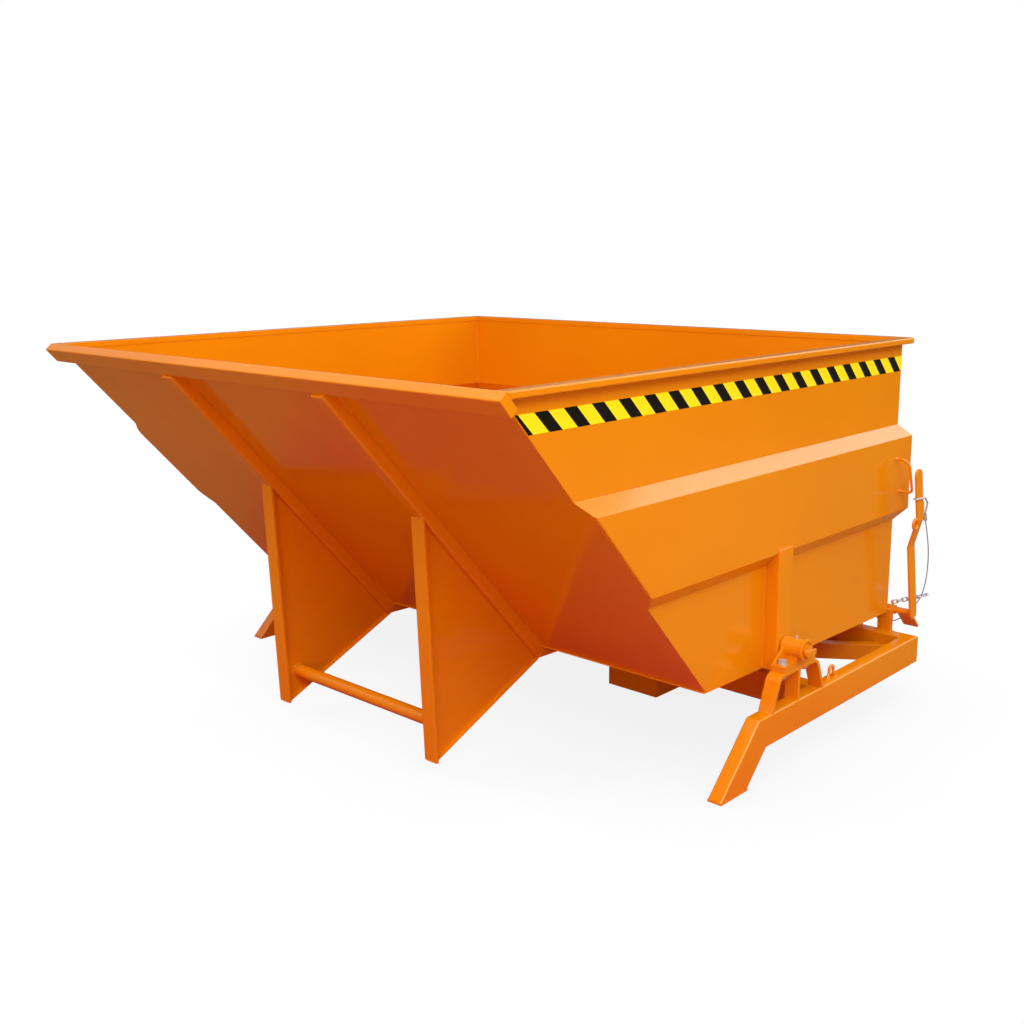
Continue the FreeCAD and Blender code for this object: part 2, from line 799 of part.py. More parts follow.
def front_leg():
    """Sloped front leg of the rail, from the mitre down to its foot plate."""
    lower, upper = bend_stations()
    run = 1 / math.tan(leg_slope)
    toe = (upper[0] + (upper[1] - foot_plate) * run, foot_plate)
    heel = (lower[0] + (lower[1] - foot_plate) * run, foot_plate)
    along = Vector(math.cos(leg_slope), 0, -math.sin(leg_slope))
    leg = prism_y([lower, heel, toe, upper], rail_inner, rail_outer)
    leg = rounded(leg, rail_edges(lower, upper), along, rail_edge_radius)
    inset = rail_wall / math.sin(leg_slope)
    ends = (-rail_height, rail_top + rail_height)
    edges = [(heel[0] + inset, foot_plate), (toe[0] - inset, foot_plate)]
    hollow = [(edges[0][0] - ends[0] * run, ends[0]), (edges[1][0] - ends[0] * run, ends[0]),
              (edges[1][0] - ends[1] * run, ends[1]), (edges[0][0] - ends[1] * run, ends[1])]
    hollow = [(x + foot_plate * run, z) for x, z in hollow]
    plate = box(heel[0], toe[0], rail_inner, rail_outer, 0, foot_plate)
    return leg.cut(prism_y(hollow, rail_inner + rail_wall, rail_outer - rail_wall)), plate


def cross_tube(x0, reach):
    """Tube across the frame with its rear face at a given place."""
    x1 = x0 + rail_width
    tube = box(x0, x1, -reach, reach, rail_bottom, rail_top)
    edges = [Vector(x, 0, z) for x in (x0, x1) for z in (rail_bottom, rail_top)]
    tube = rounded(tube, edges, Vector(0, 1, 0), rail_edge_radius)
    z0 = rail_bottom + rail_wall
    return tube.cut(box(x0 + rail_wall, x1 - rail_wall, -reach, reach, z0, rail_top - rail_wall))


def rear_cross():
    """Rear cross member, mitred into both rails."""
    corner = rear_corner(1)
    return cross_tube(rail_rear, rail_outer).cut(corner).cut(mirrored(corner))


def front_cross():
    """Front cross member between the rails."""
    return cross_tube(rear_x + cross_setback - rail_width, rail_inner)


def fork_pocket():
    """Fork pocket, open at the rear, and its front end cap."""
    y0 = pocket_offset - pocket_width / 2
    y1 = pocket_offset + pocket_width / 2
    x1 = rear_x + cross_setback - pocket_cap
    tube = box(rail_rear, x1, y0, y1, 0, rail_bottom)
    inside = box(rail_rear, x1, y0 + pocket_wall, y1 - pocket_wall, pocket_wall, rail_bottom - pocket_wall)
    return tube.cut(inside), box(x1, x1 + pocket_cap, y0, y1, 0, rail_bottom)


def brace():
    """Diagonal brace from the rear corner to the top of the fork pocket."""
    tube = prism_z(brace_plan(brace_width / 2, 0), rail_bottom, rail_bottom + brace_height)
    inside = prism_z(brace_plan(brace_width / 2 - brace_wall, overrun), rail_bottom + brace_wall,
                     rail_bottom + brace_height - brace_wall)
    return tube.cut(inside)


def brace_plan(half, extra):
    """Plan of the brace at a half width, with its ends moved out by an extra length."""
    across = half * math.hypot(1, brace_run_share)
    x0 = rail_rear + rail_width - extra
    start = rail_inner - brace_corner
    y1 = pocket_offset - extra
    plan = []
    for side in (-1, 1):
        y_start = start + side * across / brace_run_share + extra / brace_run_share
        plan.append([(x0, y_start), (x0 + (y_start - y1) * brace_run_share, y1)])
    return [plan[0][0], plan[0][1], plan[1][1], plan[1][0]]


def lashing_eye():
    """Bent eye on top of the rail."""
    x = pivot_x - hoop_foot_reach - eye_gap
    half = [(-eye_foot_reach - eye_neck_reach, -eye_neck_height), (-eye_neck_reach, eye_neck_height),
            (-eye_neck_reach, eye_height)]
    route = half + [(-dx, dz) for dx, dz in half[::-1]]
    points = [Vector(x + dx, rail_middle, rail_top + dz) for dx, dz in route]
    bar = bent_bar(points, eye_bar, [eye_bend] * len(points))
    return bar.cut(box(-far, far, -far, far, 0, rail_top))


def tub_rest():
    """Rest on the rear cross member that carries the rear of the tub."""
    x1 = rail_rear + rail_width
    x0 = x1 - rest_depth
    y0 = rest_offset - rest_width / 2
    return box(x0, x1, y0, y0 + rest_width, rail_top, floor_z(x0) - rest_gap)


def grab_handle():
    """Bent grab handle on the belt of the side wall."""
    face = panel_half + side_belt_depth
    top = belt_top - belt_top_rise - handle_top_drop
    places = [(handle_setback, top), (handle_setback - handle_lean, top - handle_length)]
    inner = [Vector(rear_x + x, face, z) for x, z in places]
    outer = [Vector(rear_x + x, face + handle_reach, z) for x, z in places]
    bends = (handle_top_bend, handle_bottom_bend)
    return bent_bar([inner[0], outer[0], outer[1], inner[1]], handle_bar, bends)


def latch_upright(side, width):
    """Upright on the rear cross member with the shaft bearing on its rear face."""
    crown = latch_height + upright_crown
    plate = box(rail_rear, rail_rear + upright_depth, side, side + width, rail_top, crown)
    end = side + latch_bearing_width
    bearing = cylinder_y(shaft_x, latch_height, latch_bearing_radius, side, end)
    radius = latch_bearing_radius
    cheek = box(shaft_x, rail_rear, side, end, latch_height - radius, latch_height + radius)
    upright = plate.fuse([bearing, cheek]).removeSplitter()
    return upright.cut(cylinder_y(shaft_x, latch_height, shaft_radius + running_gap, side, end))


def latch_shaft():
    """Shaft from the inner upright to the lever."""
    return cylinder_y(shaft_x, latch_height, shaft_radius, inner_upright_side - shaft_tail, lever_outer)


def chain_frame():
    """Unit vectors of the chain: along it, level across it and square to both."""
    along = Vector(-chain_back, chain_out, chain_rise).normalize()
    across = along.cross(Vector(0, 0, 1)).normalize()
    return along, across, across.cross(along)


def staple_middle():
    """Middle of the staple's top bar."""
    return Vector(shaft_x, (collar_side + collar_end) / 2, latch_height + collar_radius + staple_height)


def shaft_collar():
    """Collar on the shaft with the staple that holds the chain."""
    collar = cylinder_y(shaft_x, latch_height, collar_radius, collar_side, collar_end)
    across = chain_frame()[1]
    top = staple_middle()
    drop = Vector(0, 0, -staple_height - collar_radius / 2)
    feet = [top - across * staple_half_width + drop, top + across * staple_half_width + drop]
    heads = [top - across * staple_half_width, top + across * staple_half_width]
    bends = (staple_bar, staple_bar)
    staple = bent_bar([feet[0], heads[0], heads[1], feet[1]], staple_bar, bends)
    return collar.fuse(staple).cut(
        cylinder_y(shaft_x, latch_height, shaft_radius + press_gap, collar_side, collar_end))


def latch_hook():
    """Hook on the shaft, with the tail that the rope pulls."""
    end = hook_side + hook_thickness
    hub = cylinder_y(shaft_x, latch_height, hook_hub_radius, hook_side, end)
    rear = -hook_arm_rear
    front = rear + hook_arm_width
    outline = [(rear, 0), (rear, hook_height - hook_nose_chamfer), (rear + hook_nose_chamfer, hook_height),
               (hook_nose_reach - hook_nose_chamfer, hook_height),
               (hook_nose_reach, hook_height - hook_nose_chamfer), (hook_nose_reach, hook_nose_height),
               (front, hook_nose_height), (front, 0)]
    arm = prism_y([(shaft_x + x, latch_height + z) for x, z in outline], hook_side, end)
    half = hook_tail_width / 2
    tail = box(-hook_tail_length, 0, hook_side, end, -half, half)
    tail = tail.fuse(cylinder_y(-hook_tail_length, 0, half, hook_side, end))
    tail.rotate(Vector(0, 0, 0), Vector(0, 1, 0), -pedal_slope_degrees)
    tail.translate(Vector(shaft_x, 0, latch_height))
    hook = hub.fuse([arm, tail]).removeSplitter()
    return hook.cut(cylinder_y(shaft_x, latch_height, shaft_radius + press_gap, hook_side, end))


def latch_catch():
    """Catch on the rear wall, wedge-shaped below."""
    y0 = hook_side + hook_thickness / 2 - catch_width / 2
    top = latch_height + hook_nose_height - catch_gap
    bottom = top - catch_height
    rear = rear_x - catch_depth
    outline = [(rear_x, top), (rear, top), (rear, bottom), (rear_x, bottom - catch_wedge)]
    return prism_y(outline, y0, y0 + catch_width)


def leaned(shape):
    """Turn a piece built upright on the shaft into the lever's resting lean, at its place."""
    shape.rotate(Vector(0, 0, 0), Vector(0, 1, 0), lever_lean_degrees)
    shape.translate(Vector(shaft_x, 0, latch_height))
    return shape


def leaned_place(across, side, height):
    """Place given in the lever's own upright frame, across being forward."""
    lean = math.radians(lever_lean_degrees)
    x = shaft_x + across * math.cos(lean) + height * math.sin(lean)
    return Vector(x, side, latch_height - across * math.sin(lean) + height * math.cos(lean))


def release_lever():
    """Flat bar lever with an outward jog and rounded ends."""
    upper = lever_outer + lever_jog_offset
    path = [(lever_outer, -lever_foot), (lever_outer, lever_jog_start)]
    path += [(upper, lever_jog_end), (upper, lever_top)]
    half = lever_width / 2
    bar = prism_x(strip_outline(path, lever_thickness), -half, half)
    inner_path = offset_path(path, lever_thickness)
    along = Vector(1, 0, 0)
    hollow_bends = [Vector(0, *path[1]), Vector(0, *inner_path[2])]
    round_bends = [Vector(0, *inner_path[1]), Vector(0, *path[2])]
    bar = rounded(bar, hollow_bends, along, lever_bend)
    bar = rounded(bar, round_bends, along, lever_bend + lever_thickness)
    y0 = lever_side - overrun
    y1 = upper + overrun
    outline = box(-half, half, y0, y1, 0, lever_top - half)
    outline = outline.fuse([cylinder_y(0, lever_top - half, half, y0, y1), cylinder_y(0, 0, half, y0, y1)])
    hole = cylinder_y(0, 0, shaft_radius + press_gap, y0, y1)
    return leaned(bar.common(outline.removeSplitter()).cut(hole))


def lever_ring():
    """Ring cut flat where it is welded to the front edge of the lever."""
    edge = lever_width / 2
    reach = (lever_ring_diameter - lever_ring_wire) / 2
    middle = Vector(edge + lever_ring_offset, lever_upper_middle, lever_ring_height)
    ring = Part.makeTorus(reach, lever_ring_wire / 2, middle, Vector(0, 1, 0))
    return leaned(ring.cut(box(-edge, edge, 0, far, 0, far)))


def foot_pedal():
    """Pedal plate on the shaft, sloping back and down, with rounded tip corners."""
    half = pedal_thickness / 2
    plate = box(-pedal_length, 0, pedal_side, pedal_side + pedal_width, -half, half)
    tips = [Vector(-pedal_length, y, 0) for y in (pedal_side, pedal_side + pedal_width)]
    plate = rounded(plate, tips, Vector(0, 0, 1), pedal_corner)
    plate.rotate(Vector(0, 0, 0), Vector(0, 1, 0), -pedal_slope_degrees)
    plate.translate(Vector(shaft_x, 0, latch_height))
    seat = cylinder_y(shaft_x, latch_height, shaft_radius + press_gap, pedal_side - overrun, lever_side)
    return plate.cut(seat)


def rope_points():
    """Route of the pull rope from its ferrule to the hook's tail, chosen by hand, as vectors."""
    hook_offset = hook_side + hook_thickness + seat_gap - lever_upper_middle
    route = [
        (-17.4, 0.5, 643.0),
        (-46.0, 0.5, 572.0),
        (-67.0, -2.5, 512.0),
        (-82.0, -8.5, 448.0),
        (-92.0, -18.5, 385.0),
        (-96.0, -33.5, 330.0),
        (-108.0, -70.5, 277.0),
        (-103.0, -114.5, 229.0),
        (-98.6, -146.5, 214.0),
        (-97.0, hook_offset, 215.0),
    ]
    return [Vector(rear_x + x, lever_upper_middle + y, z) for x, y, z in route]


def pull_rope():
    """Wire rope that hangs from the lever through the chain's end link to the hook's tail."""
    points = rope_points()
    reaches = []
    for before, corner, after in zip(points, points[1:], points[2:]):
        reach = rope_reach_share * min((corner - before).Length, (after - corner).Length)
        reaches.append(reach)
        print("rope bend radius", round(reach * math.tan((before - corner).getAngle(after - corner) / 2), 1))
    path = rounded_wire(points, reaches)
    rope = swept(path, points[0], points[1] - points[0], rope_diameter)
    section = math.pi * rope_diameter ** 2 / 4
    print("rope length", round(path.Length, 1))
    print("rope volume share", round(rope.Volume / (section * path.Length), 4))
    return rope


def rope_ferrule():
    """Ferrule that closes the rope's eye."""
    start, below = rope_points()[:2]
    axis = (start - below).normalize()
    return Part.makeCylinder(ferrule_diameter / 2, ferrule_length, start + axis * seat_gap, axis)


def rope_eye():
    """Eye of the rope, laid round the lever above the jog."""
    start, below = rope_points()[:2]
    axis = (start - below).normalize()
    seat = start + axis * (ferrule_length + seat_gap + seat_gap)
    edge = lever_width / 2 + eye_edge_gap + eye_wire / 2
    face = lever_thickness / 2 + eye_face_gap + eye_wire / 2
    middle = lever_upper_middle
    strands = []
    for side in (1, -1):
        strands.append([
            seat + Vector(0, side * eye_strand_offset, 0),
            seat + Vector(0, side * eye_strand_offset, 0) + axis * eye_wire,
            leaned_place(-edge - eye_bow_reach, middle + side * face, eye_rear_height - eye_bow_drop),
            leaned_place(-edge, middle + side * face, eye_rear_height),
            leaned_place(edge, middle + side * face, eye_front_height),
        ])
    points = strands[0] + strands[1][::-1]
    return bent_bar(points, eye_wire, [eye_wire_bend] * len(points))


def link(middle, along, flat, wire, inner_length, inner_width):
    """Oval chain link with its long way along one direction and its width along another."""
    radius = wire / 2
    turn = inner_width / 2 + radius
    reach = (inner_length - inner_width) / 2
    pieces = []
    for side in (1, -1):
        bend = Part.makeTorus(turn, radius, Vector(0, 0, 0), Vector(0, 0, 1), 0, 360, 180)
        bend.rotate(Vector(0, 0, 0), Vector(0, 0, 1), -90 * side)
        bend.translate(Vector(side * reach, 0, 0))
        pieces.append(bend)
        pieces.append(Part.makeCylinder(radius, 2 * reach, Vector(-reach, side * turn, 0), Vector(1, 0, 0)))
    oval = pieces[0].fuse(pieces[1:]).removeSplitter()
    oval.Placement = FreeCAD.Placement(middle, FreeCAD.Rotation(along, flat, along.cross(flat), "XYZ"))
    return oval


def safety_chain():
    """Chain from the staple, level and upright links by turns, with a larger end link."""
    along, across, square = chain_frame()
    pitch = chain_inner_length - chain_slack
    first = chain_inner_length / 2 - staple_bar / 2 - chain_slack
    links = []
    for index in range(chain_links):
        flat = square if index % 2 == 0 else across
        middle = staple_middle() + along * (first + index * pitch)
        links.append(link(middle, along, flat, chain_wire, chain_inner_length, chain_inner_width))
    flat = square if chain_links % 2 == 0 else across
    last = first + (chain_links - 1) * pitch + (chain_inner_length + end_link_inner_length) / 2 - chain_slack
    middle = staple_middle() + along * last
    links.append(link(middle, along, flat, end_link_wire, end_link_inner_length, end_link_inner_width))
    return Part.makeCompound(links)


def save_tub():
    """Write the pieces that tip."""
    rib, bearer = front_ribs()
    save("tub_floor", Part.makeCompound([floor_plate(), bearer, mirrored(bearer)]))
    save("tub_rear_wall", tub_rear())
    save_pair("tub_side", tub_side())
    save("tub_front_wall", tub_front())
    side_rim, rear_rim = rims()
    save_pair("rim", side_rim)
    save("rim_rear", rear_rim)
    lip, caps = dump_lip()
    save("dump_lip", lip)
    save("lip_end_caps", caps)
    save_pair("front_rib", rib)
    save_pair("leg_web", leg_web())
    save_pair("leg_flange", leg_flange())
    save("leg_cross_bar", leg_bar())
    save_pair("pivot_post", pivot_post())
    save_pair("trunnion", trunnion())
    save_pair("pin_ring", pin_ring())
    save("grab_handle", grab_handle())
    save("latch_catch", latch_catch())


def save_base():
    """Write the pieces that stand still."""
    save_pair("side_rail", side_rail())
    leg, plate = front_leg()
    save_pair("front_leg", leg)
    save("foot_plates", Part.makeCompound([plate, mirrored(plate)]))
    save("rear_cross_member", rear_cross())
    save("front_cross_member", front_cross())
    pocket, cap = fork_pocket()
    save_pair("fork_pocket", pocket)
    save("pocket_end_caps", Part.makeCompound([cap, mirrored(cap)]))
    save_pair("brace", brace())
    save_pair("bearing_hoop", bearing_hoop())
    stiffener = hoop_stiffener()
    save("hoop_stiffeners", Part.makeCompound([stiffener, mirrored(stiffener)]))
    save_pair("bearing_block", bearing_block())
    save_pair("bearing_bush", bearing_bush())
    bolts = bearing_bolts()
    save("bearing_bolts", Part.makeCompound(bolts + [mirrored(bolt) for bolt in bolts]))
    nipple = grease_nipple()
    save("grease_nipples", Part.makeCompound([nipple, mirrored(nipple)]))
    eye = lashing_eye()
    save("lashing_eyes", Part.makeCompound([eye, mirrored(eye)]))
    rest = tub_rest()
    save("tub_rests", Part.makeCompound([rest, mirrored(rest)]))
    save("latch_upright_outer", latch_upright(upright_side, upright_width))
    save("latch_upright_inner", latch_upright(inner_upright_side, inner_upright_width))


def save_latch():
    """Write the pieces that turn with the release lever."""
    save("release_lever", release_lever())
    save("lever_ring", lever_ring())
    save("latch_shaft", latch_shaft())
    save("shaft_collar", shaft_collar())
    save("foot_pedal", foot_pedal())
    save("latch_hook", latch_hook())
    save("rope_eye", rope_eye())
    save("rope_ferrule", rope_ferrule())
    save("pull_rope", pull_rope())
    save("safety_chain", safety_chain())


save_tub()
save_base()
save_latch()
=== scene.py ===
"""Looks of the self-tipping skip: finishes, edges, hazard tape, weld beads, wire rope, studio and camera."""

import json
import logging
import math
from dataclasses import dataclass, field
from enum import Enum
from typing import Iterable, Sequence

import bpy
from mathutils import Matrix, Vector

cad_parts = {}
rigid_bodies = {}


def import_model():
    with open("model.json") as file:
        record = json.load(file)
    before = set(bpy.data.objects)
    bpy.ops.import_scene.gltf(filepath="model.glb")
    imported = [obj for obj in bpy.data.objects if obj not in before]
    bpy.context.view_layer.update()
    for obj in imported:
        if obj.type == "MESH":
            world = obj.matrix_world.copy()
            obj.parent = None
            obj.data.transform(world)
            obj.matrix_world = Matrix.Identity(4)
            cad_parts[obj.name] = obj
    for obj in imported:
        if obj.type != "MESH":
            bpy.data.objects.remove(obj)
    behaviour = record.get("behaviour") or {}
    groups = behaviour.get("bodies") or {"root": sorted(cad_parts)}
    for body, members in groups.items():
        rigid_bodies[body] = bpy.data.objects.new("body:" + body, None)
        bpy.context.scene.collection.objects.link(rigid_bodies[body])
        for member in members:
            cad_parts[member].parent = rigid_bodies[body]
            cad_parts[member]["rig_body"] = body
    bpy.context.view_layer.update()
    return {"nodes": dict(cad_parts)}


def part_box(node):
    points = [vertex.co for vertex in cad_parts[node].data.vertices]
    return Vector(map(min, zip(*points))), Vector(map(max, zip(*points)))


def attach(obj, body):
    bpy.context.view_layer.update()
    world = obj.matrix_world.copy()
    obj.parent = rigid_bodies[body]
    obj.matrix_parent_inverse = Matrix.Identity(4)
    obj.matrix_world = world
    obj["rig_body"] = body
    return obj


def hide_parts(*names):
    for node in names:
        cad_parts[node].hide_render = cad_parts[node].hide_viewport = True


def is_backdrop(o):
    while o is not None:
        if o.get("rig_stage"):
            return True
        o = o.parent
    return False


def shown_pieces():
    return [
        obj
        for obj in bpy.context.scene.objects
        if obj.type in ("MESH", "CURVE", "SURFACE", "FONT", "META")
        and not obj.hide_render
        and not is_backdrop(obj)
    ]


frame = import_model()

LOG = logging.getLogger("skip_scene")

Colour = tuple[float, float, float, float]
Point = tuple[float, float, float]
# Middle of a loop of vertices, two directions across and its radius
Loop = tuple[Vector, Vector, Vector, float]
# Node and the name or number of its output
Output = tuple[bpy.types.Node, str | int]


class Body(Enum):
    """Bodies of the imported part."""

    BASE = "base"
    TUB = "tub"
    LATCH = "latch"


class Slot(Enum):
    """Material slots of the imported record."""

    PAINT = "orange_paint"
    ZINC = "zinc_steel"
    ROPE = "rope_steel"
    BRONZE = "bronze"


class Hand(Enum):
    """Hands of the part, as its node names say them."""

    LEFT = "left"
    RIGHT = "right"

    @property
    def side(self) -> float:
        """Sign of Y on this hand."""
        return 1.0 if self is Hand.LEFT else -1.0


class End(Enum):
    """Ends of the tub."""

    REAR = "rear"
    FRONT = "front"


class Graph:
    """Node tree of one material, with short calls to add and link nodes."""

    # Usual middle range of noise
    NOISE_LOW = 0.3
    NOISE_HIGH = 0.7
    # Socket numbers of a colour mix
    FIRST_COLOUR = 6
    SECOND_COLOUR = 7
    MIXED_COLOUR = 2

    def __init__(self, name: str) -> None:
        """Make an empty node material with a surface shader and its output.

        Args:
            name: Name of the new material.
        """
        self.material = bpy.data.materials.new(name)
        self.material.use_nodes = True
        self.tree = self.material.node_tree
        self.tree.nodes.clear()
        self.output = self.add("ShaderNodeOutputMaterial")
        self.shader = self.add("ShaderNodeBsdfPrincipled")
        self.link(self.shader, "BSDF", self.output, "Surface")

    def add(self, kind: str, **inputs: object) -> bpy.types.Node:
        """Add a node and set its input values.

        Args:
            kind: Blender's type name of the node.
            inputs: Input values, with underscores for the spaces in socket names.

        Returns:
            The new node.
        """
        node = self.tree.nodes.new(kind)
        for key, value in inputs.items():
            node.inputs[key.replace("_", " ")].default_value = value
        return node

    def link(self, source: bpy.types.Node, out: str | int, target: bpy.types.Node, into: str | int) -> None:
        """Join an output socket to an input socket.

        Args:
            source: Node that gives the value.
            out: Its output's name or number.
            target: Node that takes the value.
            into: Its input's name or number.
        """
        self.tree.links.new(source.outputs[out], target.inputs[into])

    def object_place(self) -> bpy.types.Node:
        """Texture coordinates, whose Object output is the place in the shared frame."""
        return self.add("ShaderNodeTexCoord")

    def noise(self, place: bpy.types.Node, scale: float, detail: float) -> bpy.types.Node:
        """Noise in the object's own frame.

        Args:
            place: Coordinate node.
            scale: Waves per metre.
            detail: Number of finer layers.

        Returns:
            The noise node.
        """
        node = self.add("ShaderNodeTexNoise", Scale=scale, Detail=detail)
        self.link(place, "Object", node, "Vector")
        return node

    def spread(self, noise: bpy.types.Node, low: float, high: float) -> bpy.types.Node:
        """Map noise from its usual middle range to a new range.

        Args:
            noise: Noise node.
            low: New value at the low end.
            high: New value at the high end.

        Returns:
            The mapping node, whose output is Result.
        """
        node = self.add(
            "ShaderNodeMapRange", From_Min=self.NOISE_LOW, From_Max=self.NOISE_HIGH, To_Min=low, To_Max=high)
        self.link(noise, "Fac", node, "Value")
        return node

    def mixed(self, share: Output, first: Colour | bpy.types.Node, second: Colour) -> bpy.types.Node:
        """Mix two colours by a share.

        Args:
            share: Node and output that give the share of the second colour.
            first: Colour at share 0, or the mix node that gives it.
            second: Colour at share 1.

        Returns:
            The mix node, whose output MIXED_COLOUR is the colour.
        """
        node = self.tree.nodes.new("ShaderNodeMix")
        node.data_type = "RGBA"
        if isinstance(first, bpy.types.Node):
            self.link(first, self.MIXED_COLOUR, node, self.FIRST_COLOUR)
        else:
            node.inputs[self.FIRST_COLOUR].default_value = first
        node.inputs[self.SECOND_COLOUR].default_value = second
        self.link(*share, node, 0)
        return node

    def maths(self, operation: str, first: Output, second: Output | float = 0.0) -> bpy.types.Node:
        """Add a maths node.

        Args:
            operation: Blender's name of the operation.
            first: Node and output of the first value.
            second: Node and output of the second value, or a number.

        Returns:
            The maths node, whose output 0 is the value.
        """
        node = self.tree.nodes.new("ShaderNodeMath")
        node.operation = operation
        self.link(*first, node, 0)
        if isinstance(second, tuple):
            self.link(*second, node, 1)
        else:
            node.inputs[1].default_value = second
        return node

    def colour_from(self, mix: bpy.types.Node) -> None:
        """Take the shader's base colour from a mix node."""
        self.link(mix, self.MIXED_COLOUR, self.shader, "Base Color")

    def roughness_from(self, noise: bpy.types.Node, smooth: float, rough: float) -> None:
        """Take the shader's roughness from noise, between two limits."""
        self.link(self.spread(noise, smooth, rough), "Result", self.shader, "Roughness")

    def relief_from(self, noise: bpy.types.Node, depth: float) -> None:
        """Bump the shader's surface by noise, to a depth in metres.

        Args:
            noise: Noise node.
            depth: Depth of the relief in metres.
        """
        bump = self.add("ShaderNodeBump", Distance=depth)
        self.link(noise, "Fac", bump, "Height")
        self.link(bump, "Normal", self.shader, "Normal")


@dataclass(frozen=True)
class GlossPaint:
    """Sprayed gloss enamel on steel sheet, with a fine orange peel and slightly uneven shine."""

    name: str = "orange_gloss_enamel"
    deep: Colour = (0.80, 0.275, 0.0018, 1.0)
    light: Colour = (0.84, 0.305, 0.0024, 1.0)
    cloud_scale: float = 2.1
    cloud_detail: float = 4.0
    patch_scale: float = 26.0
    patch_detail: float = 5.0
    smooth: float = 0.09
    rough: float = 0.17
    peel_scale: float = 420.0
    peel_detail: float = 2.0
    peel_depth: float = 0.000012

    def material(self) -> bpy.types.Material:
        """Build the paint.

        Returns:
            The material.
        """
        graph = Graph(self.name)
        place = graph.object_place()
        cloud = graph.spread(graph.noise(place, self.cloud_scale, self.cloud_detail), 0.0, 1.0)
        graph.colour_from(graph.mixed((cloud, "Result"), self.deep, self.light))
        graph.roughness_from(graph.noise(place, self.patch_scale, self.patch_detail), self.smooth, self.rough)
        graph.relief_from(graph.noise(place, self.peel_scale, self.peel_detail), self.peel_depth)
        return graph.material


@dataclass(frozen=True)
class PlatedSteel:
    """Metal with a fine grain and slightly uneven shine, such as zinc plate, rope wire or bronze."""

    name: str
    dull: Colour
    bright: Colour
    smooth: float
    rough: float
    metal: float = 1.0
    spangle_scale: float = 90.0
    patch_scale: float = 180.0
    grain_scale: float = 900.0
    detail: float = 2.0
    grain_depth: float = 0.00004

    def material(self) -> bpy.types.Material:
        """Build the metal.

        Returns:
            The material.
        """
        graph = Graph(self.name)
        place = graph.object_place()
        spangle = graph.add("ShaderNodeTexVoronoi", Scale=self.spangle_scale)
        graph.link(place, "Object", spangle, "Vector")
        graph.colour_from(graph.mixed((spangle, "Distance"), self.bright, self.dull))
        graph.roughness_from(graph.noise(place, self.patch_scale, self.detail), self.smooth, self.rough)
        graph.relief_from(graph.noise(place, self.grain_scale, self.detail), self.grain_depth)
        graph.shader.inputs["Metallic"].default_value = self.metal
        return graph.material


@dataclass(frozen=True)
class StripedTape:
    """Yellow and black hazard tape, its stripes leaning forward as they rise, under a little dust."""

    name: str = "hazard_tape"
    yellow: Colour = (0.98, 0.93, 0.014, 1.0)
    black: Colour = (0.006, 0.006, 0.005, 1.0)
    pitch: float = 0.10567
    black_share: float = 0.465
    first_black: float = -0.93782
    stripe_height: float = 1.195
    edge: float = 0.004
    dust: Colour = (0.75, 0.62, 0.35, 1.0)
    dust_share: float = 0.005
    dust_scale: float = 14.0
    dust_detail: float = 5.0
    smooth: float = 0.44
    rough: float = 0.56
    shine: float = 0.06
    relief_scale: float = 500.0
    relief_detail: float = 1.0
    relief_depth: float = 0.00003

    def material(self) -> bpy.types.Material:
        """Build the tape's print.

        Returns:
            The material.
        """
        graph = Graph(self.name)
        place = graph.object_place()
        stripes = graph.mixed((self.black_here(graph, place), 0), self.yellow, self.black)
        dust = graph.noise(place, self.dust_scale, self.dust_detail)
        dusty = graph.spread(dust, 0.0, self.dust_share)
        graph.colour_from(graph.mixed((dusty, "Result"), stripes, self.dust))
        graph.roughness_from(dust, self.smooth, self.rough)
        graph.relief_from(graph.noise(place, self.relief_scale, self.relief_detail), self.relief_depth)
        graph.shader.inputs["Specular IOR Level"].default_value = self.shine
        return graph.material

    def black_here(self, graph: Graph, place: bpy.types.Node) -> bpy.types.Node:
        """Tell the black stripes from the yellow ones along a line that leans at 45 degrees.

        Args:
            graph: Graph to add the nodes to.
            place: Coordinate node.

        Returns:
            The node whose output 0 is 1 on black and 0 on yellow.
        """
        split = graph.add("ShaderNodeSeparateXYZ")
        graph.link(place, "Object", split, "Vector")
        along = graph.maths("SUBTRACT", (split, "X"), (split, "Z"))
        start = graph.maths("SUBTRACT", (along, 0), self.first_black - self.stripe_height)
        turns = graph.maths("DIVIDE", (start, 0), self.pitch)
        phase = graph.maths("FRACT", (turns, 0))
        rising = graph.add("ShaderNodeMapRange", From_Max=self.edge)
        graph.link(phase, 0, rising, "Value")
        falling = graph.add(
            "ShaderNodeMapRange", From_Min=self.black_share, From_Max=self.black_share + self.edge,
            To_Min=1.0, To_Max=0.0)
        graph.link(phase, 0, falling, "Value")
        return graph.maths("MULTIPLY", (rising, "Result"), (falling, "Result"))


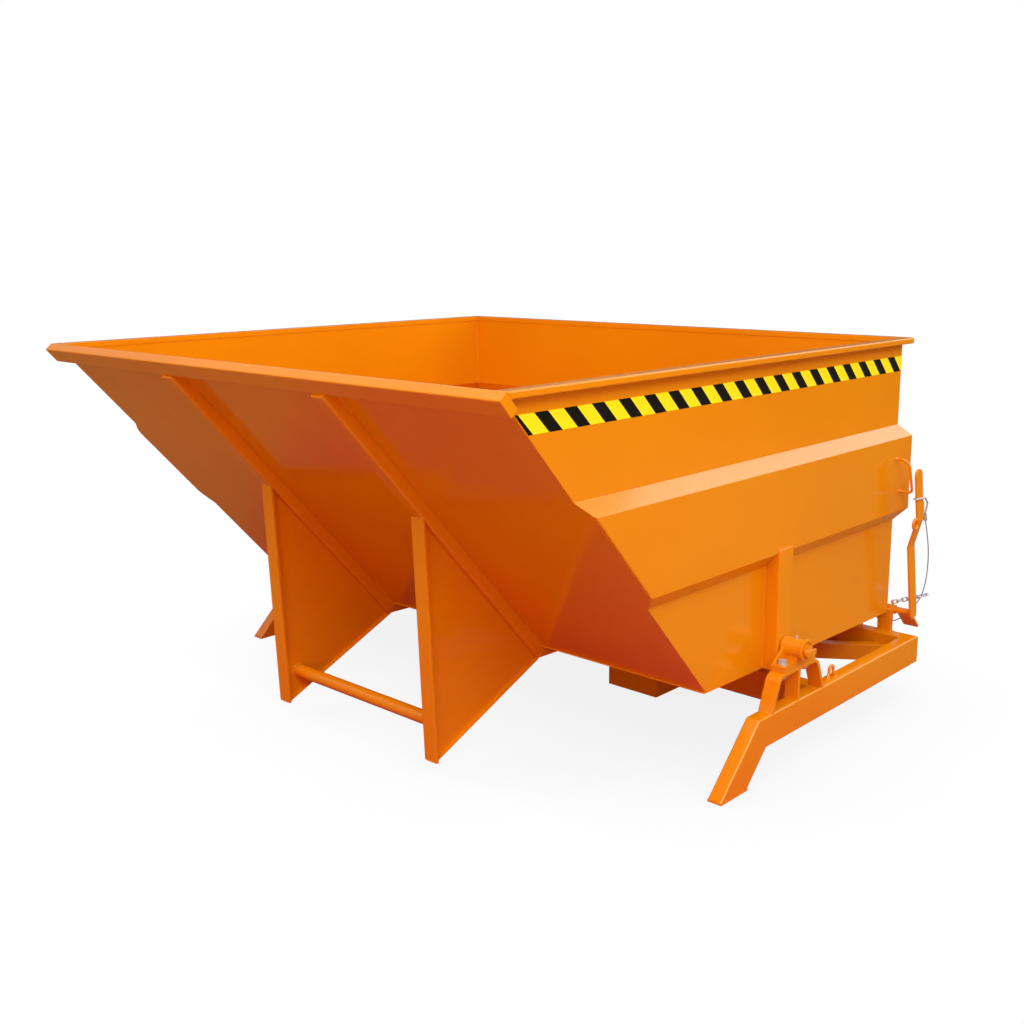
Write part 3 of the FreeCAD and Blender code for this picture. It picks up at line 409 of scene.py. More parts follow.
@dataclass(frozen=True)
class PaleFloor:
    """Studio floor: white with the part's soft shadow to the eye; to the part, a dim floor whose red-orange
    near the part is painted bounce light from the orange tub.
    """

    name: str = "pale_floor"
    white: Colour = (1.0, 1.0, 1.0, 1.0)
    shadow: float = 0.84
    shadow_reach: float = 0.55
    # Painted bounce light: the red-orange near the part stands in for the orange light that the tub throws on
    # the floor; the far colour is the dim yellowish grey floor itself.
    painted_bounce_near: Colour = (0.46, 0.015, 0.13, 1.0)
    bounce_far: Colour = (0.38, 0.27, 0.12, 1.0)
    near: float = 1.3
    far: float = 1.85

    def material(self) -> bpy.types.Material:
        """Build the floor.

        Returns:
            The material.
        """
        graph = Graph(self.name)
        graph.tree.nodes.remove(graph.shader)
        nearness = graph.add("ShaderNodeAmbientOcclusion", Distance=self.shadow_reach)
        shade = graph.add("ShaderNodeMapRange", To_Min=self.shadow, To_Max=1.0)
        graph.link(nearness, "AO", shade, "Value")
        pale = graph.add("ShaderNodeEmission", Color=self.white)
        graph.link(shade, "Result", pale, "Strength")
        away = graph.tree.nodes.new("ShaderNodeVectorMath")
        away.operation = "LENGTH"
        graph.link(graph.object_place(), "Object", away, 0)
        reach = graph.add("ShaderNodeMapRange", From_Min=self.near, From_Max=self.far)
        graph.link(away, "Value", reach, "Value")
        # Painted bounce light: red-orange near the part, fading to the far colour with distance from the
        # part's middle.
        tint = graph.mixed((reach, "Result"), self.painted_bounce_near, self.bounce_far)
        painted_bounce_floor = graph.add("ShaderNodeBsdfDiffuse")
        graph.link(tint, graph.MIXED_COLOUR, painted_bounce_floor, "Color")
        rays = graph.add("ShaderNodeLightPath")
        seen = graph.maths("MAXIMUM", (rays, "Is Camera Ray"), (rays, "Is Transmission Ray"))
        choice = graph.add("ShaderNodeMixShader")
        for number, source in enumerate((seen, painted_bounce_floor, pale)):
            graph.link(source, 0, choice, number)
        graph.link(choice, 0, graph.output, "Surface")
        return graph.material


@dataclass
class Finishes:
    """Every material of the part, built once: one for each slot, and the tape's print."""

    by_slot: dict[Slot, bpy.types.Material] = field(init=False)
    tape: bpy.types.Material = field(init=False)

    def __post_init__(self) -> None:
        """Build the materials."""
        zinc = PlatedSteel(
            name="zinc_plate", dull=(0.40, 0.50, 0.60, 1.0), bright=(0.72, 0.82, 0.92, 1.0),
            smooth=0.20, rough=0.34, metal=0.4)
        rope = PlatedSteel(
            name="rope_wire", dull=(0.20, 0.235, 0.28, 1.0), bright=(0.42, 0.47, 0.53, 1.0),
            smooth=0.30, rough=0.44, metal=0.4)
        bronze = PlatedSteel(
            name="bearing_bronze", dull=(0.50, 0.30, 0.12, 1.0), bright=(0.66, 0.44, 0.20, 1.0),
            smooth=0.28, rough=0.40)
        choices = {Slot.PAINT: GlossPaint(), Slot.ZINC: zinc, Slot.ROPE: rope, Slot.BRONZE: bronze}
        self.by_slot = {slot: finish.material() for slot, finish in choices.items()}
        self.tape = StripedTape().material()

    def dress(self, names: Iterable[str], slot: Slot) -> None:
        """Give CAD nodes the material of a slot.

        Args:
            names: Node names.
            slot: Slot of their new material.
        """
        for name in names:
            mesh = frame["nodes"][name].data
            mesh.materials.clear()
            mesh.materials.append(self.by_slot[slot])


@dataclass(frozen=True)
class RoundedEdge:
    """Small bevel along the sharp edges of CAD nodes, so that they catch the light."""

    width: float
    segments: int = 2
    sharp_degrees: float = 30.0
    flat_degrees: float = 0.5
    join_gap: float = 0.00001

    def apply(self, names: Iterable[str]) -> None:
        """Bevel nodes, after joining their vertices and merging their flat faces.

        Args:
            names: Node names.
        """
        for name in names:
            modifiers = frame["nodes"][name].modifiers
            join = modifiers.new("join", "WELD")
            join.merge_threshold = self.join_gap
            planar = modifiers.new("planar", "DECIMATE")
            planar.decimate_type = "DISSOLVE"
            planar.angle_limit = math.radians(self.flat_degrees)
            edge = modifiers.new("edge", "BEVEL")
            edge.width = self.width
            edge.segments = self.segments
            edge.limit_method = "ANGLE"
            edge.angle_limit = math.radians(self.sharp_degrees)
            smooth = modifiers.new("smooth", "WEIGHTED_NORMAL")
            smooth.keep_sharp = False


def nodes_of(body: Body) -> list[str]:
    """Names of the CAD nodes of a body."""
    return [name for name, node in frame["nodes"].items() if node["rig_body"] == body.value]


def mesh_piece(
    name: str,
    points: Sequence[Vector],
    faces: Sequence[Sequence[int]],
    material: bpy.types.Material,
) -> bpy.types.Object:
    """Make a mesh object in the scene.

    Args:
        name: Piece name.
        points: Vertices in metres, in the shared frame.
        faces: Vertex numbers of each face.
        material: Its material.

    Returns:
        The new object.
    """
    mesh = bpy.data.meshes.new(name)
    mesh.from_pydata([tuple(p) for p in points], [], [tuple(f) for f in faces])
    mesh.validate()
    mesh.materials.append(material)
    mesh.shade_smooth()
    piece = bpy.data.objects.new(name, mesh)
    bpy.context.scene.collection.objects.link(piece)
    return piece


@dataclass
class RoundBars:
    """Vertices and faces of round bars, laid as loops of vertices with bands of faces between them."""

    sides: int
    points: list[Vector] = field(default_factory=list)
    faces: list[tuple[int, ...]] = field(default_factory=list)

    def add_loops(self, loops: Sequence[Loop]) -> list[int]:
        """Add the vertices of loops.

        Args:
            loops: The loops in order.

        Returns:
            Number of each loop's first vertex.
        """
        firsts = []
        for middle, across, square, radius in loops:
            firsts.append(len(self.points))
            for side in range(self.sides):
                turn = math.tau * side / self.sides
                self.points.append(middle + (across * math.cos(turn) + square * math.sin(turn)) * radius)
        return firsts

    def add_band(self, here: int, there: int) -> None:
        """Add the faces between two loops.

        Args:
            here: Number of the first loop's first vertex.
            there: Number of the second loop's first vertex.
        """
        for side in range(self.sides):
            beside = (side + 1) % self.sides
            self.faces.append((here + side, here + beside, there + beside, there + side))

    def add_bar(self, loops: Sequence[Loop]) -> None:
        """Add a bar with closed ends.

        Args:
            loops: Its loops from end to end.
        """
        firsts = self.add_loops(loops)
        for here, there in zip(firsts, firsts[1:]):
            self.add_band(here, there)
        self.faces.append(tuple(range(firsts[0] + self.sides - 1, firsts[0] - 1, -1)))
        self.faces.append(tuple(range(firsts[-1], firsts[-1] + self.sides)))

    def add_ring(self, loops: Sequence[Loop]) -> None:
        """Add a bar that closes on itself.

        Args:
            loops: Its loops all the way round.
        """
        firsts = self.add_loops(loops)
        for here, there in zip(firsts, firsts[1:] + firsts[:1]):
            self.add_band(here, there)


@dataclass
class WeldSeam:
    """Group of weld beads that make one piece, each a rippled run along a line."""

    name: str
    body: Body
    radius: float = 0.0035
    ripple_pitch: float = 0.006
    ripple_depth: float = 0.22
    stations_per_ripple: int = 3
    fewest_stations: int = 4
    wander: tuple[tuple[float, float], ...] = ((0.06, 1.7), (0.04, 0.61))
    end_share: float = 0.45
    sides: int = 8
    bars: RoundBars = field(init=False)

    def __post_init__(self) -> None:
        """Start without beads."""
        self.bars = RoundBars(self.sides)

    def swell(self, station: int) -> float:
        """Share of the bead's radius at a station, from its ripples and the hand that laid it.

        Args:
            station: Number of the station along the run.

        Returns:
            The share, about 1.
        """
        phase = (station % self.stations_per_ripple) / self.stations_per_ripple
        wander = sum(size * math.sin(station * rate) for size, rate in self.wander)
        return 1.0 - self.ripple_depth * phase + wander

    def stations(self, length: float) -> int:
        """Number of steps that a run of a given length takes."""
        return max(self.fewest_stations, round(length / self.ripple_pitch) * self.stations_per_ripple)

    def bead(self, start: Vector, end: Vector, scale: float = 1.0) -> None:
        """Add one straight bead with closed ends.

        Args:
            start: First end of the line.
            end: Other end of the line.
            scale: Size of the bead, as a share of the group's radius.
        """
        along = (end - start).normalized()
        across = along.orthogonal().normalized()
        square = along.cross(across)
        count = self.stations((end - start).length)
        loops = []
        for station in range(count + 1):
            share = self.end_share if station in (0, count) else self.swell(station)
            loops.append((start.lerp(end, station / count), across, square, self.radius * scale * share))
        self.bars.add_bar(loops)

    def seam(self, corners: Sequence[Vector]) -> None:
        """Add a bead along each run between corners.

        Args:
            corners: Corners of the line.
        """
        for start, end in zip(corners, corners[1:]):
            self.bead(start, end)

    def ring(self, middle: Vector, axis: Vector, reach: float, scale: float = 1.0) -> None:
        """Add a bead round a bar.

        Args:
            middle: Middle of the bar's end.
            axis: Direction of the bar.
            reach: Radius of the bead's own middle line.
            scale: Size of the bead, as a share of the group's radius.
        """
        along = axis.normalized()
        across = along.orthogonal().normalized()
        square = along.cross(across)
        count = self.stations(math.tau * reach)
        loops = []
        for station in range(count):
            turn = math.tau * station / count
            out = across * math.cos(turn) + square * math.sin(turn)
            loops.append((middle + out * reach, out, along, self.radius * scale * self.swell(station)))
        self.bars.add_ring(loops)

    def build(self, finishes: Finishes) -> bpy.types.Object:
        """Make the piece and fix it to its body.

        Args:
            finishes: Materials of the part.

        Returns:
            The new piece.
        """
        piece = mesh_piece(self.name, self.bars.points, self.bars.faces, finishes.by_slot[Slot.PAINT])
        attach(piece, self.body.value)
        LOG.info("welds %s: %d faces", self.name, len(self.bars.faces))
        return piece


@dataclass
class TubShape:
    """Lines of the tub that its welds follow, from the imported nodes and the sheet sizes, in metres."""

    sheet: float = 0.004
    floor_sheet: float = 0.005
    floor_front: float = 0.300
    floor_rear: float = 0.280
    floor_length: float = 1.161
    belt_bottom: float = 0.6313
    belt_low: float = 0.6783
    belt_high: float = 0.9395
    belt_top: float = 0.9775
    side_belt: float = 0.045
    rear_belt: float = 0.025
    rim_tube: float = 0.020
    front_x: float = field(init=False)
    rear_x: float = field(init=False)
    rim_z: float = field(init=False)
    panel_y: float = field(init=False)
    slope: float = field(init=False)

    def __post_init__(self) -> None:
        """Read the walls' places."""
        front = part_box("tub_front_wall")[1]
        self.front_x = front.x
        self.rim_z = front.z
        self.rear_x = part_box("tub_rear_wall")[1].x - self.sheet
        self.panel_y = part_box("tub_side_left")[1].y - self.side_belt
        run = self.front_x - self.rear_x - self.floor_length
        self.slope = math.atan(run / (self.rim_z - self.floor_front))

    @property
    def slope_length(self) -> float:
        """Length of the front wall down its slope."""
        return (self.rim_z - self.floor_front) / math.cos(self.slope)

    @property
    def floor_incline(self) -> float:
        """Rise of the floor for each metre towards the front."""
        return (self.floor_front - self.floor_rear) / self.floor_length

    def on_slope(self, down: float, y: float) -> Vector:
        """Place on the front wall's outer face.

        Args:
            down: Distance down the slope from the rim.
            y: Place across the tub.

        Returns:
            The place.
        """
        sine, cosine = math.sin(self.slope), math.cos(self.slope)
        return Vector((self.front_x - down * sine, y, self.rim_z - down * cosine))

    def slope_crossing(self, out: float, x: float, z: float, lean: float) -> Vector:
        """Where a line that rises from a place meets the plane at a distance out from the front wall.

        Args:
            out: The plane's distance from the wall's face.
            x: Place of the line along the tub.
            z: Its height there.
            lean: Its run along the tub for each metre of rise.

        Returns:
            The crossing, in the middle plane.
        """
        sine, cosine = math.sin(self.slope), math.cos(self.slope)
        gap = (x - self.front_x) * cosine + (self.rim_z - z) * sine - out
        rise = gap / (sine - lean * cosine)
        return Vector((x + rise * lean, 0.0, z + rise))

    def floor_z(self, x: float) -> float:
        """Height of the floor's underside at a place along the tub."""
        share = (x - self.rear_x) / self.floor_length
        return self.floor_rear + (self.floor_front - self.floor_rear) * share

    def front_inside(self, z: float) -> float:
        """Place of the front wall's inner face at a height."""
        return self.front_x - (self.rim_z - z) * math.tan(self.slope) - self.sheet / math.cos(self.slope)

    def corner_line(self, end: End, hand: Hand) -> list[Vector]:
        """Inner corner of a side wall with the wall at one end, from the floor to the rim.

        Args:
            end: End of the tub.
            hand: Hand of the side wall.

        Returns:
            Corners of the line.
        """
        front = end is End.FRONT
        floor = self.floor_front if front else self.floor_rear
        inner = self.panel_y - self.sheet
        line = []
        for z, belted in (
            (floor + self.floor_sheet, False), (self.belt_bottom, False), (self.belt_low, True),
            (self.belt_high, True), (self.belt_top, False), (self.rim_z - self.rim_tube, False),
        ):
            x = self.front_inside(z) if front else self.rear_x + self.sheet - belted * self.rear_belt
            line.append(Vector((x, hand.side * (inner + belted * self.side_belt), z)))
        return line


@dataclass
class Tub:
    """Tub that tips: sheet walls, rims, ribs, legs, pivot posts and the hazard tape."""

    finishes: Finishes
    edge: float = 0.0012
    tape_low: float = 1.1695
    tape_high: float = 1.2225
    tape_gap: float = 0.0003
    tape_thickness: float = 0.0003
    tape_inset: float = 0.004
    rib_offset: float = 0.380
    rib_half: float = 0.027
    rib_depth: float = 0.040
    rib_bead: float = 1.15
    lip_depth: float = 0.060
    stitch: float = 0.105
    leg_setback: float = 1.652
    leg_lean: float = math.tan(math.radians(2.0))
    leg_tip: float = 0.042
    flange_bead: float = 0.9
    hem_half: float = 0.017
    heel_reach: float = 0.006
    heel_rise: float = 0.002
    heel_bead: float = 1.25
    tip_lift: float = 0.002
    tip_bead: float = 0.6
    bar_bead: float = 1.2
    handle_feet: tuple[tuple[float, float], ...] = ((0.088, 0.870), (0.053, 0.750))
    handle_radius: float = 0.0045
    wall_weld: float = 0.003
    inside_weld: float = 0.004
    inside_ripple: float = 0.010
    inside_sides: int = 6
    shape: TubShape = field(default_factory=TubShape)

    def dress(self) -> None:
        """Paint the tub and round its edges."""
        names = nodes_of(Body.TUB)
        self.finishes.dress(names, Slot.PAINT)
        RoundedEdge(self.edge).apply(n for n in names if n != "grab_handle")

    def build(self) -> None:
        """Add the tape and the weld beads."""
        self.build_tape()
        self.build_leg_welds()
        self.build_wall_welds()
        self.build_inside_welds()

    def build_leg_welds(self) -> None:
        """Weld the ribs to the front wall, the legs to the ribs and the cross bar to the legs."""
        welds = WeldSeam("leg_welds", Body.TUB)
        for hand in Hand:
            self.weld_rib(welds, hand)
            self.weld_leg(welds, hand)
        welds.build(self.finishes)

    def weld_rib(self, welds: WeldSeam, hand: Hand) -> None:
        """Stitch one rib to the front wall, at its top and its foot.

        Args:
            welds: Group that takes the beads.
            hand: Hand of the rib.
        """
        foot = self.shape.slope_length - self.rib_depth / 2
        for half in (-self.rib_half, self.rib_half):
            y = hand.side * (self.rib_offset + half)
            for start, end in ((self.lip_depth, self.lip_depth + self.stitch), (foot - self.stitch, foot)):
                welds.bead(self.shape.on_slope(start, y), self.shape.on_slope(end, y), self.rib_bead)

    def weld_leg(self, welds: WeldSeam, hand: Hand) -> None:
        """Weld one leg at the top of its flange, its heel, its tip and the cross bar.

        Args:
            welds: Group that takes the beads.
            hand: Hand of the leg.
        """
        foot = self.shape.rear_x + self.leg_setback
        top = self.shape.slope_crossing(self.rib_depth, foot, self.leg_tip, self.leg_lean)
        tip = Vector((foot, 0.0, self.leg_tip + self.tip_lift))
        hem = (-self.hem_half, self.hem_half)
        for place, halves, scale in (
            (top, (0.0, self.rib_half), self.flange_bead),
            (self.heel_place(foot), hem, self.heel_bead),
            (tip, hem, self.tip_bead),
        ):
            start, end = (Vector((place.x, hand.side * (self.rib_offset + half), place.z)) for half in halves)
            welds.bead(start, end, scale)
        low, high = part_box("leg_cross_bar")
        bar_end = (low + high) / 2
        bar_end.y = high.y if hand is Hand.LEFT else low.y
        welds.ring(bar_end, Vector((0, 1, 0)), (high.x - low.x) / 2, self.bar_bead)

    def heel_place(self, foot: float) -> Vector:
        """Notch between a leg's heel and the bend of its rib.

        Args:
            foot: Place of the leg's front along the tub.

        Returns:
            The middle of the notch, in the middle plane.
        """
        incline = self.shape.floor_incline
        under = self.shape.floor_z(foot) - self.rib_depth * math.hypot(1.0, incline)
        corner = self.shape.slope_crossing(self.rib_depth, foot, under, 1.0 / incline)
        sine, cosine = math.sin(self.shape.slope), math.cos(self.shape.slope)
        up, inward = Vector((sine, 0.0, cosine)), Vector((-cosine, 0.0, sine))
        return corner - up * self.heel_reach + inward * self.heel_rise

    def build_wall_welds(self) -> None:
        """Weld the grab handle and the pivot posts to the side walls."""
        shape = self.shape
        welds = WeldSeam("wall_welds", Body.TUB, radius=self.wall_weld)
        for x, z in self.handle_feet:
            foot = Vector((shape.rear_x + x, shape.panel_y + shape.side_belt, z))
            welds.ring(foot, Vector((0, 1, 0)), self.handle_radius)
        low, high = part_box("pivot_post_left")
        for hand in Hand:
            y = hand.side * shape.panel_y
            for x in (low.x, high.x):
                welds.bead(Vector((x, y, low.z)), Vector((x, y, shape.belt_bottom)))
        welds.build(self.finishes)

    def build_inside_welds(self) -> None:
        """Seal the tub's inner corners and the edge of its floor."""
        welds = WeldSeam(
            "inside_welds", Body.TUB, radius=self.inside_weld, ripple_pitch=self.inside_ripple,
            sides=self.inside_sides)
        for hand in Hand:
            rear, front = (self.shape.corner_line(end, hand) for end in End)
            for line in (rear, front, [rear[0], front[0]]):
                welds.seam(line)
        for end in End:
            welds.seam([self.shape.corner_line(end, hand)[0] for hand in Hand])
        welds.build(self.finishes)

    def build_tape(self) -> None:
        """Lay the hazard tape along the upper panel of the side with the lever."""
        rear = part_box("tub_rear_wall")[1].x - self.tape_inset
        front_low, front_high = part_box("tub_front_wall")
        slope = (front_high.x - front_low.x) / (front_high.z - front_low.z)
        inner = self.shape.panel_y + self.tape_gap
        points = []
        for y in (inner, inner + self.tape_thickness):
            for z in (self.tape_low, self.tape_high):
                front = front_high.x - (front_high.z - z) * slope - self.tape_inset
                points += [Vector((rear, y, z)), Vector((front, y, z))]
        faces = [(0, 1, 3, 2), (4, 6, 7, 5), (0, 4, 5, 1), (2, 3, 7, 6), (0, 2, 6, 4), (1, 5, 7, 3)]
        tape = mesh_piece("hazard_tape_left", points, faces, self.finishes.tape)
        tape.data.shade_flat()
        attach(tape, Body.TUB.value)


@dataclass
class BaseFrame:
    """Base that stands on the floor: rails, feet, pockets, hoops and bearings."""

    finishes: Finishes
    edge: float = 0.0015
    member_width: float = 0.050
    corner_radius: float = 0.006
    corner_sink: float = 0.002
    joint_bead: float = 1.2
    hoop_front_bead: float = 1.4
    hoop_inset: float = 0.003
    stiffener_half: float = 0.006
    stiffener_bead: float = 0.9
    upright_depth: float = 0.020
    pocket_top: float = 0.106
    eye_foot: float = 0.025
    eye_bar: float = 0.0055
    eye_bead: float = 0.9

    def dress(self) -> None:
        """Paint the base, plate its fasteners and round its edges."""
        bushes = ["bearing_bush_left", "bearing_bush_right"]
        plated = ["bearing_bolts", "grease_nipples"]
        painted = [n for n in nodes_of(Body.BASE) if n not in bushes + plated]
        for names, slot in ((painted, Slot.PAINT), (plated, Slot.ZINC), (bushes, Slot.BRONZE)):
            self.finishes.dress(names, slot)
        RoundedEdge(self.edge).apply(n for n in painted if n != "lashing_eyes")

    def build(self) -> None:
        """Weld the hoops, eyes, uprights and pockets to the rails and cross members."""
        welds = WeldSeam("base_welds", Body.BASE)
        for hand in Hand:
            self.weld_hoop(welds, hand)
            self.weld_pocket(welds, hand)
        for hand in Hand:
            self.weld_eye(welds, hand)
        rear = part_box("rear_cross_member")[0].x
        front = rear + self.upright_depth
        for name in ("latch_upright_outer", "latch_upright_inner"):
            low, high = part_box(name)
            corners = ((rear, high.y), (front, high.y), (front, low.y), (rear, low.y))
            welds.seam([Vector((x, y, low.z)) for x, y in corners])
        welds.build(self.finishes)

    def weld_hoop(self, welds: WeldSeam, hand: Hand) -> None:
        """Weld one hoop and its stiffener to the rail, and the rail to the front cross member.

        Args:
            welds: Group that takes the beads.
            hand: Hand of the hoop.
        """
        low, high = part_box("bearing_hoop_" + hand.value)
        middle = (low.x + high.x) / 2
        start, end = low.y + self.hoop_inset, high.y - self.hoop_inset
        for x, scale in (
            (low.x, self.joint_bead), (high.x, self.hoop_front_bead),
            (middle - self.stiffener_half, self.stiffener_bead),
            (middle + self.stiffener_half, self.stiffener_bead),
        ):
            welds.bead(Vector((x, start, low.z)), Vector((x, end, low.z)), scale)
        cross_low, cross_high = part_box("front_cross_member")
        y = cross_high.y if hand is Hand.LEFT else cross_low.y
        z = cross_high.z - self.corner_sink
        start, end = cross_low.x + self.corner_radius, cross_high.x - self.corner_radius
        welds.bead(Vector((start, y, z)), Vector((end, y, z)), self.joint_bead)

    def weld_pocket(self, welds: WeldSeam, hand: Hand) -> None:
        """Weld one fork pocket under the cross members.

        Args:
            welds: Group that takes the beads.
            hand: Hand of the pocket.
        """
        low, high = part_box("fork_pocket_" + hand.value)
        z = self.pocket_top
        for x in (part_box("rear_cross_member")[0].x + self.member_width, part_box("front_cross_member")[0].x):
            welds.bead(Vector((x, low.y, z)), Vector((x, high.y, z)), self.joint_bead)

    def weld_eye(self, welds: WeldSeam, hand: Hand) -> None:
        """Weld the feet of one lashing eye to its rail.

        Args:
            welds: Group that takes the beads.
            hand: Hand of the eye.
        """
        eye_low, eye_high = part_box("lashing_eyes")
        low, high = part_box("side_rail_" + hand.value)
        middle = (eye_low.x + eye_high.x) / 2
        for x in (middle - self.eye_foot, middle + self.eye_foot):
            foot = Vector((x, (low.y + high.y) / 2, high.z))
            welds.ring(foot, Vector((0, 0, 1)), self.eye_bar, self.eye_bead)


@dataclass
class WireRope:
    """Pull rope of six strands round a core, hung from the lever to the tail of the hook."""

    finishes: Finishes
    diameter: float = 0.004
    length: float = 0.526
    lay_length: float = 0.034
    strands: int = 6
    radii_across: int = 6
    sides: int = 6
    steps_per_span: int = 24
    rear_x: float = -0.969851
    route: tuple[Point, ...] = (
        (-0.0174, 1.1830, 0.643),
        (-0.0460, 1.1830, 0.572),
        (-0.0670, 1.1800, 0.512),
        (-0.0820, 1.1740, 0.448),
        (-0.0920, 1.1640, 0.385),
        (-0.0960, 1.1490, 0.330),
        (-0.1080, 1.1120, 0.277),
        (-0.1030, 1.0680, 0.229),
        (-0.0986, 1.0360, 0.214),
        (-0.0970, 1.0023, 0.215),
    )

    @property
    def controls(self) -> list[Point]:
        """Control points of the rope, whose route is measured along X from the tub's rear wall."""
        return [(self.rear_x + x, y, z) for x, y, z in self.route]

    def centreline(self) -> list[Vector]:
        """Read the rope's middle line from the NURBS spline of its control points.

        Returns:
            Points along the line.
        """
        curve = bpy.data.curves.new("rope_route", "CURVE")
        curve.dimensions = "3D"
        spline = curve.splines.new("NURBS")
        spline.points.add(len(self.route) - 1)
        for point, place in zip(spline.points, self.controls):
            point.co = (*place, 1.0)
        spline.order_u = 3
        spline.use_endpoint_u = True
        spline.resolution_u = self.steps_per_span
        holder = bpy.data.objects.new("rope_route", curve)
        bpy.context.scene.collection.objects.link(holder)
        ready = holder.evaluated_get(bpy.context.evaluated_depsgraph_get())
        mesh = bpy.data.meshes.new_from_object(ready)
        line = [v.co.copy() for v in mesh.vertices]
        bpy.data.objects.remove(holder)
        bpy.data.meshes.remove(mesh)
        return line

    def build(self) -> bpy.types.Object:
        """Returns:
            The rope piece.
        """
        line = self.centreline()
        frames = self.frames(line)
        strand = self.diameter / self.radii_across
        bars = RoundBars(self.sides)
        for number in range(self.strands + 1):
            reach = 0.0 if number == self.strands else 2 * strand
            path = []
            for middle, across, square, walked in frames:
                turn = math.tau * (number / self.strands + walked / self.lay_length)
                path.append(middle + (across * math.cos(turn) + square * math.sin(turn)) * reach)
            bars.add_bar([(*station[:3], strand) for station in self.frames(path)])
        rope = mesh_piece("wire_rope", bars.points, bars.faces, self.finishes.by_slot[Slot.ROPE])
        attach(rope, Body.LATCH.value)
        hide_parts("pull_rope")
        return rope

    @staticmethod
    def frames(line: Sequence[Vector]) -> list[tuple[Vector, Vector, Vector, float]]:
        """Carry a steady cross frame along a line.

        Args:
            line: Points of the line.

        Returns:
            Point, two directions across the line and the length walked so far, at each point.
        """
        made = []
        across = (line[1] - line[0]).orthogonal().normalized()
        walked = 0.0
        for number, middle in enumerate(line):
            before = line[max(0, number - 1)]
            after = line[min(len(line) - 1, number + 1)]
            along = (after - before).normalized()
            across = (across - along * across.dot(along)).normalized()
            walked += (middle - before).length
            made.append((middle, across, along.cross(across), walked))
        return made


@dataclass
class LatchGear:
    """Latch: shaft, hook, lever, pedal, rope and chain."""

    finishes: Finishes
    edge: float = 0.001
    weld: float = 0.003
    lever_thickness: float = 0.009
    pedal_half: float = 0.004
    pedal_run: Point = (-1.0, 0.0, -1.0)
    pedal_face: Point = (-1.0, 0.0, 1.0)

    def dress(self) -> None:
        """Paint the latch and plate its chain and rope fittings."""
        plated = ["rope_eye", "rope_ferrule", "safety_chain"]
        painted = [n for n in nodes_of(Body.LATCH) if n not in plated + ["pull_rope"]]
        self.finishes.dress(painted, Slot.PAINT)
        self.finishes.dress(plated, Slot.ZINC)
        RoundedEdge(self.edge).apply(["release_lever", "foot_pedal", "latch_hook", "latch_shaft"])

    def build(self) -> None:
        """Hang the rope and weld the lever, pedal and hook to the shaft."""
        WireRope(self.finishes).build()
        welds = WeldSeam("latch_welds", Body.LATCH, radius=self.weld)
        low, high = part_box("latch_shaft")
        radius = (high.z - low.z) / 2
        middle = (low + high) / 2
        hook_low, hook_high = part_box("latch_hook")
        for y in (high.y - self.lever_thickness, hook_low.y, hook_high.y):
            welds.ring(Vector((middle.x, y, middle.z)), Vector((0, 1, 0)), radius)
        pedal_low, pedal_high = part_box("foot_pedal")
        root = middle + Vector(self.pedal_run).normalized() * math.sqrt(radius ** 2 - self.pedal_half ** 2)
        for half in (self.pedal_half, -self.pedal_half):
            edge = root + Vector(self.pedal_face).normalized() * half
            welds.bead(Vector((edge.x, pedal_low.y, edge.z)), Vector((edge.x, pedal_high.y, edge.z)))
        welds.build(self.finishes)


@dataclass(frozen=True)
class SoftBox:
    """Rectangular studio lamp aimed at a point."""

    name: str
    place: Point
    aim: Point
    width: float
    height: float
    power: float
    colour: Point = (1.0, 1.0, 1.0)

    def build(self) -> None:
        """Make the lamp."""
        lamp = bpy.data.lights.new(self.name, "AREA")
        lamp.shape = "RECTANGLE"
        lamp.size = self.width
        lamp.size_y = self.height
        lamp.energy = self.power
        lamp.color = self.colour
        holder = bpy.data.objects.new(self.name, lamp)
        holder.location = self.place
        holder.rotation_euler = (Vector(self.aim) - Vector(self.place)).to_track_quat("-Z", "Y").to_euler()
        bpy.context.scene.collection.objects.link(holder)


